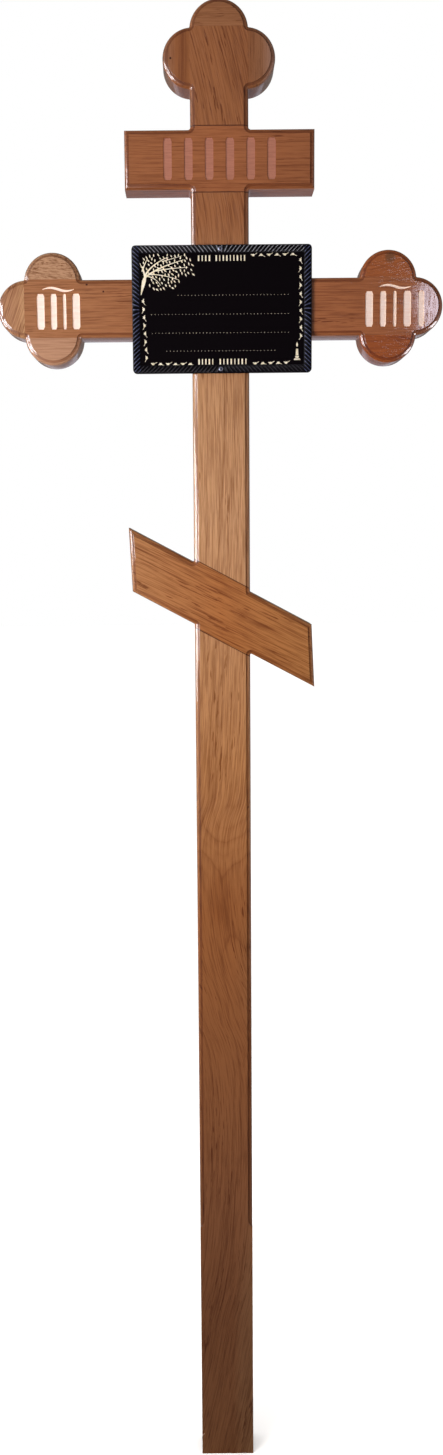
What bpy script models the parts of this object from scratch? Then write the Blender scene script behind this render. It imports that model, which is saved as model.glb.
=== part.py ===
"""Three-bar wooden grave cross with trefoil ends and a rope-edged nameplate.

The origin is the middle of the post's foot. +Z is up, X runs along the crossbars,
and the carved front faces -Y. Sizes are in metres.
"""

import math

import bmesh
import bpy

# Post and bars
POST_WIDTH = 0.080
THICKNESS = 0.050
BAR_WIDTH = 0.079
SLANTING_WIDTH = 0.078
UPPER_BAR_REACH = 0.131
MAIN_BAR_REACH = 0.2735
SLANTING_BAR_REACH = 0.131
SLANTING_ANGLE = math.radians(28.2)
SLANTING_END_LEAN = math.radians(2.7)

# Steps up the post, from the foot to the bars' middles and on to the squared top
FOOT_TO_SLANTING = 1.328
SLANTING_TO_MAIN = 0.4185
MAIN_TO_UPPER = 0.1975
UPPER_TO_TOP = 0.172

# Half-round blocks on the squared ends
LOBE_RISE = 0.037
CUSP_RADIUS = 0.0015

# Joinery
JOINT_GAP = 0.0003
SHOULDER = 0.0035
SLANTING_CORNER_RADIUS = 0.0015
HOUSING_DEPTH = 0.025

# Moulded front edge, and the height at which it stops over the foot
STEP_DEPTH = 0.0013
STEP_LEDGE = 0.0010
LEDGE_FALL = 0.0003
ROUND_RADIUS = 0.0055
BACK_ARRIS = 0.0015
MOULDING_STOP = 0.380
MOULDING_FADE = 0.014

# Shallow carved strokes. Each narrows to the tip share of its width beyond the body share of its
# length, and a wave narrows all the way to its own tip share.
STROKE_DEPTH = 0.0012
STROKE_TIP_SHARE = 0.45
STROKE_BODY_SHARE = 0.72
WAVE_TIP_SHARE = 0.25
UPPER_STROKES = 6
UPPER_STROKE_PITCH = 0.0286
UPPER_STROKE_WIDTH = 0.009
UPPER_STROKE_LENGTH = 0.055
ARM_STROKE_LENGTH = 0.048
ARM_STROKE_DROP = 0.004
ARM_STROKE_WIDTHS = (0.0105, 0.0085, 0.0045, 0.0105, 0.0085)
LEFT_ROW_WIDTH = 0.060
LEFT_ROW_SHIFT = 0.008
LEFT_ROW_STROKES = 4
RIGHT_ROW_WIDTH = 0.082
RIGHT_ROW_SHIFT = 0.009
RIGHT_ROW_STROKES = 5
WAVE_LENGTH = 0.044
WAVE_RISE = 0.0022
WAVE_WIDTH = 0.0036
WAVE_LIFT = 0.026

# Nameplate
PLATE_WIDTH = 0.250
PLATE_HEIGHT = 0.173
PLATE_THICKNESS = 0.004
PLATE_CORNER = 0.006
PLATE_SHIFT = 0.002
PLATE_DROP = 0.0033
ROPE_WIDTH = 0.011
ROPE_RISE = 0.0026
ROPE_GROOVE = 0.0013
ROPE_PITCH = 0.0052
ROPE_SLANT = 0.0040

# Screws of the nameplate
SCREW_HEAD_RADIUS = 0.0030
SCREW_HEAD_RIM = 0.0009
SCREW_HEAD_DOME = 0.0009
SCREW_SHANK_RADIUS = 0.0015
SCREW_LENGTH = 0.022
SCREW_SLOT_WIDTH = 0.0008
SCREW_SLOT_DEPTH = 0.0007

# Number of straight steps in each kind of curve
LOBE_STEPS = 16
CUSP_STEPS = 3
ROUND_STEPS = 3
FADE_STEPS = 4
ROPE_ROWS = 4
WAVE_STEPS = 10
DOME_STEPS = 3
SCREW_SIDES = 16

# How far a cutter or a blank stands beyond what it cuts, or is cut to
OVERSIZE = 0.005
SHARP_ANGLE = math.radians(24)

FRONT = -THICKNESS / 2
BACK = THICKNESS / 2
POST_SIDE = POST_WIDTH / 2
SLANTING_BAR_HEIGHT = FOOT_TO_SLANTING
MAIN_BAR_HEIGHT = SLANTING_BAR_HEIGHT + SLANTING_TO_MAIN
UPPER_BAR_HEIGHT = MAIN_BAR_HEIGHT + MAIN_TO_UPPER
SQUARED_HEIGHT = UPPER_BAR_HEIGHT + UPPER_TO_TOP
CUSP_MARGIN = CUSP_RADIUS + JOINT_GAP
MOULDING_WIDTH = ROUND_RADIUS + STEP_LEDGE
SLANTING_SLOPE = math.tan(SLANTING_ANGLE)
PLATE_MIDDLE = MAIN_BAR_HEIGHT - PLATE_DROP
PLATE_FIELD = FRONT - JOINT_GAP - PLATE_THICKNESS
HEAD_SEAT = PLATE_FIELD - JOINT_GAP
SCREW_HEIGHTS = {
    "nameplate_screw_top": PLATE_MIDDLE + (PLATE_HEIGHT - ROPE_WIDTH) / 2,
    "nameplate_screw_bottom": PLATE_MIDDLE - (PLATE_HEIGHT - ROPE_WIDTH) / 2,
}


def clear_scene():
    for obj in list(bpy.data.objects):
        bpy.data.objects.remove(obj, do_unlink=True)


def new_collection(name):
    collection = bpy.data.collections.new(name)
    bpy.context.scene.collection.children.link(collection)
    return collection


def new_material(name, colour, roughness, metallic=0.0):
    material = bpy.data.materials.new(name)
    material.use_nodes = True
    shader = material.node_tree.nodes["Principled BSDF"]
    shader.inputs["Base Color"].default_value = (*colour, 1.0)
    shader.inputs["Roughness"].default_value = roughness
    shader.inputs["Metallic"].default_value = metallic
    material.diffuse_color = (*colour, 1.0)
    return material


def add_object(name, mesh_maker, collection, material=None):
    """Makes an object from a bmesh, with its normals facing out."""
    bmesh.ops.recalc_face_normals(mesh_maker, faces=mesh_maker.faces)
    mesh = bpy.data.meshes.new(name)
    mesh_maker.to_mesh(mesh)
    mesh_maker.free()
    obj = bpy.data.objects.new(name, mesh)
    collection.objects.link(obj)
    if material:
        mesh.materials.append(material)
    return obj


def add_prism(name, outline, y_low, y_high, collection, material=None):
    """An outline in the XZ plane, extruded along Y."""
    shape = bmesh.new()
    face = shape.faces.new([shape.verts.new((x, y_low, z)) for x, z in outline])
    swept = bmesh.ops.extrude_face_region(shape, geom=[face])["geom"]
    moved = [item for item in swept if isinstance(item, bmesh.types.BMVert)]
    bmesh.ops.translate(shape, verts=moved, vec=(0, y_high - y_low, 0))
    return add_object(name, shape, collection, material)


def add_loft(name, rings, collection, material=None):
    """A closed body through rings of equally many points, with a flat cap on each end."""
    shape = bmesh.new()
    loops = [[shape.verts.new(point) for point in ring] for ring in rings]
    count = len(loops[0])
    for low, high in zip(loops, loops[1:]):
        for i in range(count):
            j = (i + 1) % count
            shape.faces.new((low[i], low[j], high[j], high[i]))
    shape.faces.new(loops[0])
    shape.faces.new(loops[-1])
    return add_object(name, shape, collection, material)


def boolean(obj, other, operation):
    modifier = obj.modifiers.new(f"{operation.lower()} {other.name}", "BOOLEAN")
    modifier.operation = operation
    modifier.solver = "EXACT"
    modifier.object = other
    other.hide_render = True
    other.display_type = "WIRE"


def shade(obj):
    obj.data.shade_smooth()
    obj.data.set_sharp_from_angle(angle=SHARP_ANGLE)


def bulge(start, end, rise, steps):
    """Points of the arc from start to end that stands rise proud to the right of the way there."""
    (x0, z0), (x1, z1) = start, end
    chord = math.hypot(x1 - x0, z1 - z0)
    radius = (chord**2 / 4 + rise**2) / (2 * rise)
    half = math.atan2(chord / 2, radius - rise)
    along = ((x1 - x0) / chord, (z1 - z0) / chord)
    out = (along[1], -along[0])
    middle = ((x0 + x1) / 2 - out[0] * (radius - rise), (z0 + z1) / 2 - out[1] * (radius - rise))
    points = []
    for i in range(1, steps):
        turn = half * (2 * i / steps - 1)
        side, lift = radius * math.sin(turn), radius * math.cos(turn)
        points.append(
            (middle[0] + along[0] * side + out[0] * lift, middle[1] + along[1] * side + out[1] * lift)
        )
    return points


def rounded_corner(before, corner, after, radius, steps):
    """Points of an arc that rounds the corner between two straight stretches."""
    ways = []
    for other in (before, after):
        length = math.hypot(other[0] - corner[0], other[1] - corner[1])
        ways.append(((other[0] - corner[0]) / length, (other[1] - corner[1]) / length))
    (ax, az), (bx, bz) = ways
    half = math.acos(max(-1.0, min(1.0, ax * bx + az * bz))) / 2
    reach = radius / math.tan(half)
    first = (corner[0] + ax * reach, corner[1] + az * reach)
    last = (corner[0] + bx * reach, corner[1] + bz * reach)
    deep = radius / math.sin(half) / math.hypot(ax + bx, az + bz)
    centre = (corner[0] + (ax + bx) * deep, corner[1] + (az + bz) * deep)
    from_angle = math.atan2(first[1] - centre[1], first[0] - centre[0])
    sweep = math.atan2(last[1] - centre[1], last[0] - centre[0]) - from_angle
    sweep = (sweep + math.pi) % (2 * math.pi) - math.pi
    return [
        (
            centre[0] + radius * math.cos(from_angle + sweep * i / steps),
            centre[1] + radius * math.sin(from_angle + sweep * i / steps),
        )
        for i in range(steps + 1)
    ]


class Outline:
    """A closed outline drawn anticlockwise, each point with its corner radius and moulding share."""

    def __init__(self):
        self.points = []

    def to(self, x, z, radius=0.0, share=1.0):
        self.points.append((x, z, radius, share))

    def lobe_to(self, x, z, radius=CUSP_RADIUS):
        """A half-round block's edge, from the last point to the cusp at (x, z)."""
        last = self.points[-1]
        for px, pz in bulge(last[:2], (x, z), LOBE_RISE, LOBE_STEPS):
            self.to(px, pz)
        self.to(x, z, radius)

    def rounded(self):
        """(x, z, share) of every point, with the corners that have a radius rounded."""
        found = []
        for i, (x, z, radius, share) in enumerate(self.points):
            if not radius:
                found.append((x, z, share))
                continue
            before = self.points[i - 1][:2]
            after = self.points[(i + 1) % len(self.points)][:2]
            arc = rounded_corner(before, (x, z), after, radius, CUSP_STEPS)
            found += [(px, pz, share) for px, pz in arc]
        return found


def slanting_corner(x, side):
    """A corner of the slanting bar's end whose middle is at x, above it (+1) or below (-1)."""
    lift = side * SLANTING_WIDTH / 2 / math.cos(SLANTING_ANGLE)
    lean = math.tan(SLANTING_END_LEAN)
    rise = lift / (1 - SLANTING_SLOPE * lean)
    return x - lean * rise, SLANTING_BAR_HEIGHT - SLANTING_SLOPE * x + rise


def slanting_edge(x, side):
    """Height of the slanting bar's edge at x, above (+1) or below (-1)."""
    lift = SLANTING_WIDTH / 2 / math.cos(SLANTING_ANGLE)
    return SLANTING_BAR_HEIGHT - SLANTING_SLOPE * x + side * lift


def band(middle, width):
    return middle - width / 2, middle + width / 2


def moulding_stop(outline, side):
    """The moulding runs out in a quarter circle above the foot, on one side of the post."""
    for i in range(FADE_STEPS + 1):
        turn = math.pi / 2 * i / FADE_STEPS
        height = MOULDING_STOP + MOULDING_FADE * (1 - math.cos(turn))
        outline.to(side * POST_SIDE, height, share=math.sin(turn))


def cross_outline():
    """The front outline of the assembled cross: each side drawn upwards, the left one then reversed."""
    path = Outline()
    main_low, main_high = band(MAIN_BAR_HEIGHT, BAR_WIDTH)
    upper_low, upper_high = band(UPPER_BAR_HEIGHT, BAR_WIDTH)
    for side in (1, -1):
        half = Outline()
        half.to(side * POST_SIDE, 0.0, share=0.0)
        moulding_stop(half, side)
        half.to(side * POST_SIDE, slanting_edge(side * POST_SIDE, -1), SLANTING_CORNER_RADIUS)
        half.to(*slanting_corner(side * SLANTING_BAR_REACH, -1))
        half.to(*slanting_corner(side * SLANTING_BAR_REACH, 1))
        half.to(side * POST_SIDE, slanting_edge(side * POST_SIDE, 1), SLANTING_CORNER_RADIUS)
        end, root = side * MAIN_BAR_REACH, side * (MAIN_BAR_REACH - BAR_WIDTH)
        half.to(side * POST_SIDE, main_low, SHOULDER)
        half.to(root, main_low, CUSP_RADIUS)
        add_lobe(half, side, (end, main_low))
        add_lobe(half, side, (end, main_high))
        add_lobe(half, side, (root, main_high))
        half.to(side * POST_SIDE, main_high, SHOULDER)
        half.to(side * POST_SIDE, upper_low, SHOULDER)
        half.to(side * UPPER_BAR_REACH, upper_low)
        half.to(side * UPPER_BAR_REACH, upper_high)
        half.to(side * POST_SIDE, upper_high, SHOULDER)
        half.to(side * POST_SIDE, SQUARED_HEIGHT - POST_WIDTH, CUSP_RADIUS)
        add_lobe(half, side, (side * POST_SIDE, SQUARED_HEIGHT))
        if side > 0:
            path.points += half.points
            add_lobe(path, 1, (-POST_SIDE, SQUARED_HEIGHT))
        else:
            path.points += half.points[-2::-1]
    return path.rounded()


def add_lobe(half, side, cusp):
    """A half-round edge to the cusp, bulging away from the cross on either side of it."""
    last = half.points[-1][:2]
    if side > 0:
        half.lobe_to(*cusp)
        return
    for x, z in reversed(bulge(cusp, last, LOBE_RISE, LOBE_STEPS)):
        half.to(x, z)
    half.to(*cusp, CUSP_RADIUS)


def inward(outline):
    """For each point, the way that moves both its edges in by one unit."""
    ways = []
    count = len(outline)
    for i in range(count):
        normals = []
        for a, b in ((outline[i - 1], outline[i]), (outline[i], outline[(i + 1) % count])):
            length = math.hypot(b[0] - a[0], b[1] - a[1])
            normals.append((-(b[1] - a[1]) / length, (b[0] - a[0]) / length))
        (ax, az), (bx, bz) = normals
        scale = 1 + ax * bx + az * bz
        ways.append(((ax + bx) / scale, (az + bz) / scale))
    return ways


def moulding_profile():
    """(inset, depth) of the front edge: a step, a ledge and a quarter round."""
    profile = [(MOULDING_WIDTH, 0.0), (MOULDING_WIDTH, STEP_DEPTH)]
    top = STEP_DEPTH + LEDGE_FALL
    for i in range(ROUND_STEPS + 1):
        turn = math.pi / 2 * i / ROUND_STEPS
        inset, fall = ROUND_RADIUS * (1 - math.sin(turn)), ROUND_RADIUS * (1 - math.cos(turn))
        profile.append((inset, top + fall))
    return profile


def add_envelope(collection):
    """The whole cross in one body, with its moulded edge, which each piece is cut to."""
    outline = cross_outline()
    ways = inward(outline)
    rings = []
    for inset, depth in moulding_profile():
        rings.append(
            [
                (x + wx * inset * share, FRONT + depth, z + wz * inset * share)
                for (x, z, share), (wx, wz) in zip(outline, ways)
            ]
        )
    for inset, y in ((0.0, BACK - BACK_ARRIS), (BACK_ARRIS, BACK)):
        rings.append([(x + wx * inset, y, z + wz * inset) for (x, z, _), (wx, wz) in zip(outline, ways)])
    return add_loft("envelope", rings, collection)


def bar_blank(reach, middle, width, slope=0.0):
    """A bar's outline before its edges are cut, with room for its shoulders."""
    low, high = band(middle, (width + 2 * SHOULDER) * math.hypot(1, slope))
    corners = ((-reach, low), (reach, low), (reach, high), (-reach, high))
    return [(x, z - slope * x) for x, z in corners]


def blocked_blank(reach, middle, width):
    """A bar's outline with square ends of its true width, where the half-round blocks are glued."""
    low, high = band(middle, width)
    wide_low, wide_high = low - SHOULDER, high + SHOULDER
    neck = reach - width - CUSP_MARGIN - JOINT_GAP
    return [
        (-neck, wide_low), (neck, wide_low), (neck, low), (reach, low),
        (reach, high), (neck, high), (neck, wide_high), (-neck, wide_high),
        (-neck, high), (-reach, high), (-reach, low), (-neck, low),
    ]


def add_seat(name, low, high, slope, collection):
    """Cutter for the post: the bar's seat in its front half, and a hair off both sides beside it."""
    wide, side = POST_SIDE + 2 * OVERSIZE, POST_SIDE - JOINT_GAP
    front, back, floor = FRONT - OVERSIZE, BACK + OVERSIZE, BACK - HOUSING_DEPTH + JOINT_GAP
    section = [
        (-wide, front), (wide, front), (wide, back), (side, back),
        (side, floor), (-side, floor), (-side, back), (-wide, back),
    ]
    shape = bmesh.new()
    face = shape.faces.new([shape.verts.new((x, y, low - slope * x)) for x, y in section])
    swept = bmesh.ops.extrude_face_region(shape, geom=[face])["geom"]
    moved = [item for item in swept if isinstance(item, bmesh.types.BMVert)]
    bmesh.ops.translate(shape, verts=moved, vec=(0, 0, high - low))
    return add_object(name, shape, collection)


def add_bar(name, outline, collections, envelope, material):
    """A crossbar, cut to the envelope and housed over the back half of the post."""
    parts, cutters = collections
    bar = add_prism(name, outline, FRONT - OVERSIZE, BACK + OVERSIZE, parts, material)
    low = min(z for _, z in outline) - OVERSIZE
    high = max(z for _, z in outline) + OVERSIZE
    seat = [(-POST_SIDE, low), (POST_SIDE, low), (POST_SIDE, high), (-POST_SIDE, high)]
    housing = add_prism(f"{name}_housing", seat, BACK - HOUSING_DEPTH, BACK + 2 * OVERSIZE, cutters)
    boolean(bar, envelope, "INTERSECT")
    boolean(bar, housing, "DIFFERENCE")
    return bar


def add_post(collections, envelope, material):
    """The upright, cut to the envelope, with the seats of the three bars and the screws' pilot holes."""
    parts, cutters = collections
    wide = POST_SIDE + OVERSIZE
    neck = SQUARED_HEIGHT - POST_WIDTH - CUSP_MARGIN - JOINT_GAP
    blank = [
        (-wide, -OVERSIZE), (wide, -OVERSIZE), (wide, neck), (POST_SIDE, neck),
        (POST_SIDE, SQUARED_HEIGHT), (-POST_SIDE, SQUARED_HEIGHT), (-POST_SIDE, neck), (-wide, neck),
    ]
    post = add_prism("post", blank, FRONT - OVERSIZE, BACK + OVERSIZE, parts, material)
    boolean(post, envelope, "INTERSECT")
    for name, middle, width, slope in (
        ("upper_seat", UPPER_BAR_HEIGHT, BAR_WIDTH, 0.0),
        ("main_seat", MAIN_BAR_HEIGHT, BAR_WIDTH, 0.0),
        ("slanting_seat", SLANTING_BAR_HEIGHT, SLANTING_WIDTH, SLANTING_SLOPE),
    ):
        upright = math.hypot(1, slope)
        low, high = band(middle, (width + 2 * (SHOULDER + JOINT_GAP)) * upright)
        boolean(post, add_seat(name, low, high, slope, cutters), "DIFFERENCE")
    for name, height in SCREW_HEIGHTS.items():
        y_range = (FRONT - OVERSIZE, FRONT + SCREW_LENGTH)
        pilot = add_rod(f"{name}_pilot", SCREW_SHANK_RADIUS + JOINT_GAP, y_range, height, cutters)
        boolean(post, pilot, "DIFFERENCE")
    return post


def add_rod(name, radius, y_range, height, collection):
    """A round rod along Y, over the middle of the post at the given height."""
    rod = bmesh.new()
    y_low, y_high = y_range
    size = {"radius1": radius, "radius2": radius, "depth": y_high - y_low}
    bmesh.ops.create_cone(rod, cap_ends=True, segments=SCREW_SIDES, **size)
    for vert in rod.verts:
        x, y, z = vert.co
        vert.co = (x, (y_low + y_high) / 2 + z, height - y)
    return add_object(name, rod, collection)


def add_lobes(parts, envelope, material):
    """The nine half-round blocks: each is a box beyond its glue line, cut to the envelope."""
    out = LOBE_RISE + OVERSIZE
    main_low, main_high = band(MAIN_BAR_HEIGHT, BAR_WIDTH)
    post_low = SQUARED_HEIGHT - POST_WIDTH
    end, root = MAIN_BAR_REACH, MAIN_BAR_REACH - BAR_WIDTH - CUSP_MARGIN
    boxes = {
        "top_lobe_upper": (-POST_SIDE, POST_SIDE, SQUARED_HEIGHT + JOINT_GAP, SQUARED_HEIGHT + out),
    }
    for side, word in ((-1, "left"), (1, "right")):
        boxes[f"top_lobe_{word}"] = (
            side * (POST_SIDE + JOINT_GAP), side * (POST_SIDE + out),
            post_low - CUSP_MARGIN, SQUARED_HEIGHT + CUSP_MARGIN,
        )
        boxes[f"{word}_lobe_end"] = (
            side * (end + JOINT_GAP), side * (end + out), main_low - CUSP_MARGIN, main_high + CUSP_MARGIN,
        )
        boxes[f"{word}_lobe_upper"] = (side * root, side * end, main_high + JOINT_GAP, main_high + out)
        boxes[f"{word}_lobe_lower"] = (side * root, side * end, main_low - out, main_low - JOINT_GAP)
    lobes = {}
    for name, (x0, x1, z0, z1) in boxes.items():
        corners = [(x0, z0), (x1, z0), (x1, z1), (x0, z1)]
        lobe = add_prism(name, corners, FRONT - OVERSIZE, BACK + OVERSIZE, parts, material)
        boolean(lobe, envelope, "INTERSECT")
        lobes[name] = lobe
    return lobes


def stroke(x, z, width, length):
    """An upright stroke that narrows towards both ends."""
    half, end = width / 2, length / 2
    tip, body = half * STROKE_TIP_SHARE, end * STROKE_BODY_SHARE
    return [
        (x - tip, z - end), (x + tip, z - end), (x + half, z - body), (x + half, z + body),
        (x + tip, z + end), (x - tip, z + end), (x - half, z + body), (x - half, z - body),
    ]


def wave(x, z):
    """A lying stroke in one wave, with pointed ends."""
    upper, lower = [], []
    for i in range(WAVE_STEPS + 1):
        t = i / WAVE_STEPS
        along = x + WAVE_LENGTH / 2 * (2 * t - 1)
        middle = z + WAVE_RISE * math.sin(2 * math.pi * t)
        half = WAVE_WIDTH / 2 * (WAVE_TIP_SHARE + (1 - WAVE_TIP_SHARE) * math.sin(math.pi * t))
        upper.append((along, middle + half))
        lower.append((along, middle - half))
    return lower + upper[::-1]


def upper_strokes():
    """The outlines of the upper bar's row, centred on the post."""
    first = -(UPPER_STROKES - 1) / 2 * UPPER_STROKE_PITCH
    return [
        stroke(first + i * UPPER_STROKE_PITCH, UPPER_BAR_HEIGHT, UPPER_STROKE_WIDTH, UPPER_STROKE_LENGTH)
        for i in range(UPPER_STROKES)
    ]


def arm_strokes(side, row_width, shift, count):
    """The outlines of one arm's strokes: an upright row under a wave."""
    middle = side * (MAIN_BAR_REACH - BAR_WIDTH / 2) + shift
    height = MAIN_BAR_HEIGHT - ARM_STROKE_DROP
    widths = [ARM_STROKE_WIDTHS[i % len(ARM_STROKE_WIDTHS)] for i in range(count)]
    gap = (row_width - sum(widths)) / (count - 1)
    shapes = []
    x = middle - row_width / 2
    for width in widths:
        shapes.append(stroke(x + width / 2, height, width, ARM_STROKE_LENGTH))
        x += width + gap
    shapes.append(wave(middle, MAIN_BAR_HEIGHT + WAVE_LIFT))
    return shapes


def carve(objects, name, shapes, collection):
    """Sinks each outline STROKE_DEPTH into the front of the objects."""
    for i, shape in enumerate(shapes):
        cutter = add_prism(f"{name}_{i}", shape, FRONT - OVERSIZE, FRONT + STROKE_DEPTH, collection)
        for obj in objects:
            boolean(obj, cutter, "DIFFERENCE")


def rope_stations():
    """(point, outward way, slant, ridge) along the rope's middle line: a ridge and a groove a strand.

    The strands slant one way up to the middle of each side and the other way after it. The slant
    fades out at the middle, and grows to the corner's mitre so that rings offset from the line close.
    """
    width, height = PLATE_WIDTH - ROPE_WIDTH, PLATE_HEIGHT - ROPE_WIDTH
    mitre = ROPE_WIDTH / 2
    stations = []
    for quarter in range(4):
        turn = math.pi / 2 * quarter
        out = (round(math.cos(turn)), round(math.sin(turn)))
        along = (-out[1], out[0])
        reach = (width if out[0] else height) / 2
        run = (height if out[0] else width) / 2
        strands = 2 * round(run / ROPE_PITCH)
        corner = (out[0] * reach - along[0] * run, out[1] * reach - along[1] * run)
        stations.append((corner, (out[0] - along[0], out[1] - along[1]), (0, 0), True))
        for i in range(1, 2 * strands):
            t = i / strands - 1
            point = (out[0] * reach + along[0] * run * t, out[1] * reach + along[1] * run * t)
            lean = ROPE_SLANT + (mitre - ROPE_SLANT) * abs(t)
            lean *= math.copysign(min(1.0, abs(t) * run / ROPE_WIDTH), t)
            stations.append((point, out, (along[0] * lean, along[1] * lean), i % 2 == 0))
    return stations


def add_nameplate(collections, material):
    """The plate with its twisted-rope border, lofted from its back to the edge of the flat field."""
    parts, cutters = collections
    stations = rope_stations()

    def ring(share, base, lift=0.0):
        """The rope's line moved out by a share of its half width, and lifted off the base."""
        points = []
        for (x, z), way, slant, ridge in stations:
            offset = share * ROPE_WIDTH / 2
            px = x + way[0] * offset + slant[0] * share
            pz = z + way[1] * offset + slant[1] * share
            px, pz = inside_plate(px, pz)
            rise = ROPE_RISE if ridge else ROPE_RISE - ROPE_GROOVE
            points.append((px + PLATE_SHIFT, base - lift * rise, pz + PLATE_MIDDLE))
        return points

    rings = [ring(1.0, FRONT - JOINT_GAP), ring(1.0, PLATE_FIELD)]
    for row in range(1, ROPE_ROWS):
        turn = math.pi * row / ROPE_ROWS
        rings.append(ring(math.cos(turn), PLATE_FIELD, math.sin(turn)))
    rings.append(ring(-1.0, PLATE_FIELD))
    plate = add_loft("nameplate", rings, parts, material)
    outside = PLATE_FIELD - OVERSIZE
    seat_radius, hole_radius = SCREW_HEAD_RADIUS + JOINT_GAP, SCREW_SHANK_RADIUS + JOINT_GAP
    for name, height in SCREW_HEIGHTS.items():
        seat = add_rod(f"{name}_seat", seat_radius, (outside, PLATE_FIELD), height, cutters)
        hole = add_rod(f"{name}_hole", hole_radius, (outside, BACK), height, cutters)
        boolean(plate, seat, "DIFFERENCE")
        boolean(plate, hole, "DIFFERENCE")
    return plate


def inside_plate(x, z):
    """Moves a point that lies beyond the plate's rounded corner onto it."""
    core_x, core_z = PLATE_WIDTH / 2 - PLATE_CORNER, PLATE_HEIGHT / 2 - PLATE_CORNER
    over_x, over_z = abs(x) - core_x, abs(z) - core_z
    if over_x <= 0 or over_z <= 0:
        return x, z
    length = math.hypot(over_x, over_z)
    if length <= PLATE_CORNER:
        return x, z
    scale = PLATE_CORNER / length
    return math.copysign(core_x + over_x * scale, x), math.copysign(core_z + over_z * scale, z)


def add_screw(name, height, collections, material):
    """A slotted screw whose domed head sits in a seat through the rope."""
    parts, cutters = collections
    end, crown = FRONT + SCREW_LENGTH - JOINT_GAP, HEAD_SEAT - SCREW_HEAD_RIM - SCREW_HEAD_DOME
    profile = []
    for i in range(DOME_STEPS + 1):
        turn = math.pi / 2 * i / DOME_STEPS
        fall = SCREW_HEAD_DOME * (1 - math.cos(turn))
        profile.append((SCREW_HEAD_RADIUS * math.sin(turn), crown + fall))
    profile += [(SCREW_HEAD_RADIUS, HEAD_SEAT), (SCREW_SHANK_RADIUS, HEAD_SEAT)]
    profile += [(SCREW_SHANK_RADIUS, end), (0.0, end)]
    mesh = bpy.data.meshes.new(name)
    edges = [(i, i + 1) for i in range(len(profile) - 1)]
    mesh.from_pydata([(radius, 0, -y) for radius, y in profile], edges, [])
    screw = bpy.data.objects.new(name, mesh)
    mesh.materials.append(material)
    parts.objects.link(screw)
    screw.rotation_euler = (math.pi / 2, 0, 0)
    screw.location = (0, 0, height)
    turned = screw.modifiers.new("turned", "SCREW")
    turned.steps = turned.render_steps = SCREW_SIDES
    turned.use_merge_vertices = True
    turned.merge_threshold = 0.00001
    low, high = band(height, SCREW_SLOT_WIDTH)
    reach = SCREW_HEAD_RADIUS + OVERSIZE
    corners = [(-reach, low), (reach, low), (reach, high), (-reach, high)]
    slot = add_prism(f"{name}_slot", corners, crown - OVERSIZE, crown + SCREW_SLOT_DEPTH, cutters)
    boolean(screw, slot, "DIFFERENCE")
    return screw


def build():
    clear_scene()
    parts, cutters = new_collection("wooden_cross"), new_collection("cutters")
    collections = (parts, cutters)
    oak = new_material("varnished_oak", (0.26, 0.105, 0.038), 0.22)
    pale_oak = new_material("pale_varnished_oak", (0.33, 0.15, 0.065), 0.22)
    black = new_material("black_plate", (0.006, 0.005, 0.007), 0.45)
    steel = new_material("dark_steel", (0.10, 0.10, 0.14), 0.35, 1.0)
    envelope = add_envelope(cutters)
    add_post(collections, envelope, oak)

    upper_blank = bar_blank(UPPER_BAR_REACH + OVERSIZE, UPPER_BAR_HEIGHT, BAR_WIDTH)
    upper = add_bar("upper_crossbar", upper_blank, collections, envelope, oak)
    main_blank = blocked_blank(MAIN_BAR_REACH, MAIN_BAR_HEIGHT, BAR_WIDTH)
    main = add_bar("main_crossbar", main_blank, collections, envelope, oak)
    slanting_reach = SLANTING_BAR_REACH + 2 * OVERSIZE
    slanting_blank = bar_blank(slanting_reach, SLANTING_BAR_HEIGHT, SLANTING_WIDTH, SLANTING_SLOPE)
    add_bar("slanting_crossbar", slanting_blank, collections, envelope, oak)
    lobes = add_lobes(parts, envelope, pale_oak)

    carve([upper], "upper_stroke", upper_strokes(), cutters)
    left_row = arm_strokes(-1, LEFT_ROW_WIDTH, LEFT_ROW_SHIFT, LEFT_ROW_STROKES)
    carve([main], "left_stroke", left_row, cutters)
    right_row = arm_strokes(1, RIGHT_ROW_WIDTH, RIGHT_ROW_SHIFT, RIGHT_ROW_STROKES)
    carve([main, lobes["right_lobe_end"]], "right_stroke", right_row, cutters)

    add_nameplate(collections, black)
    for name, height in SCREW_HEIGHTS.items():
        add_screw(name, height, collections, steel)
    for obj in parts.objects:
        shade(obj)


build()
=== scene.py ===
"""The looks of a wooden grave cross: moulded and varnished oak pieces, a black nameplate with a
rope edge and pale relief, its screws, a pale floor, studio light and the photograph's camera.
Sizes are in metres, in the frame of the solids: origin at the middle of the foot, front at -Y.
"""

import cmath
import math
import random

import bmesh
import bpy
from mathutils import Matrix, Vector
from mathutils.geometry import delaunay_2d_cdt


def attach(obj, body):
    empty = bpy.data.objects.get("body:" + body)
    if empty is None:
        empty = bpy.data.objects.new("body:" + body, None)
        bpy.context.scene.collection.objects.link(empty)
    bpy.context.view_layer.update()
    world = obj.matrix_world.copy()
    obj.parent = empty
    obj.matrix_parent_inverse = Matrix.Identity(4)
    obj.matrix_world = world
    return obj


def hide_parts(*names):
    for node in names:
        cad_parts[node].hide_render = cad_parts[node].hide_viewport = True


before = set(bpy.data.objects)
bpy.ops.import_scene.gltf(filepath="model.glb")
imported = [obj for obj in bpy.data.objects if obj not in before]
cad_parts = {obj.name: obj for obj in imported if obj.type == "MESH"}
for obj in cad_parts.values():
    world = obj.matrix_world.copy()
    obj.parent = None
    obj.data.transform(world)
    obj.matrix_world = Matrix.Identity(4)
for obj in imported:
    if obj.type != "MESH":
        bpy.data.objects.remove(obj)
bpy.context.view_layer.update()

# Post, bars and half-round blocks, as in the solids
POST_WIDTH = 0.080
THICKNESS = 0.050
BAR_WIDTH = 0.079
SLANTING_WIDTH = 0.078
UPPER_BAR_REACH = 0.131
MAIN_BAR_REACH = 0.2735
SLANTING_BAR_REACH = 0.131
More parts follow.
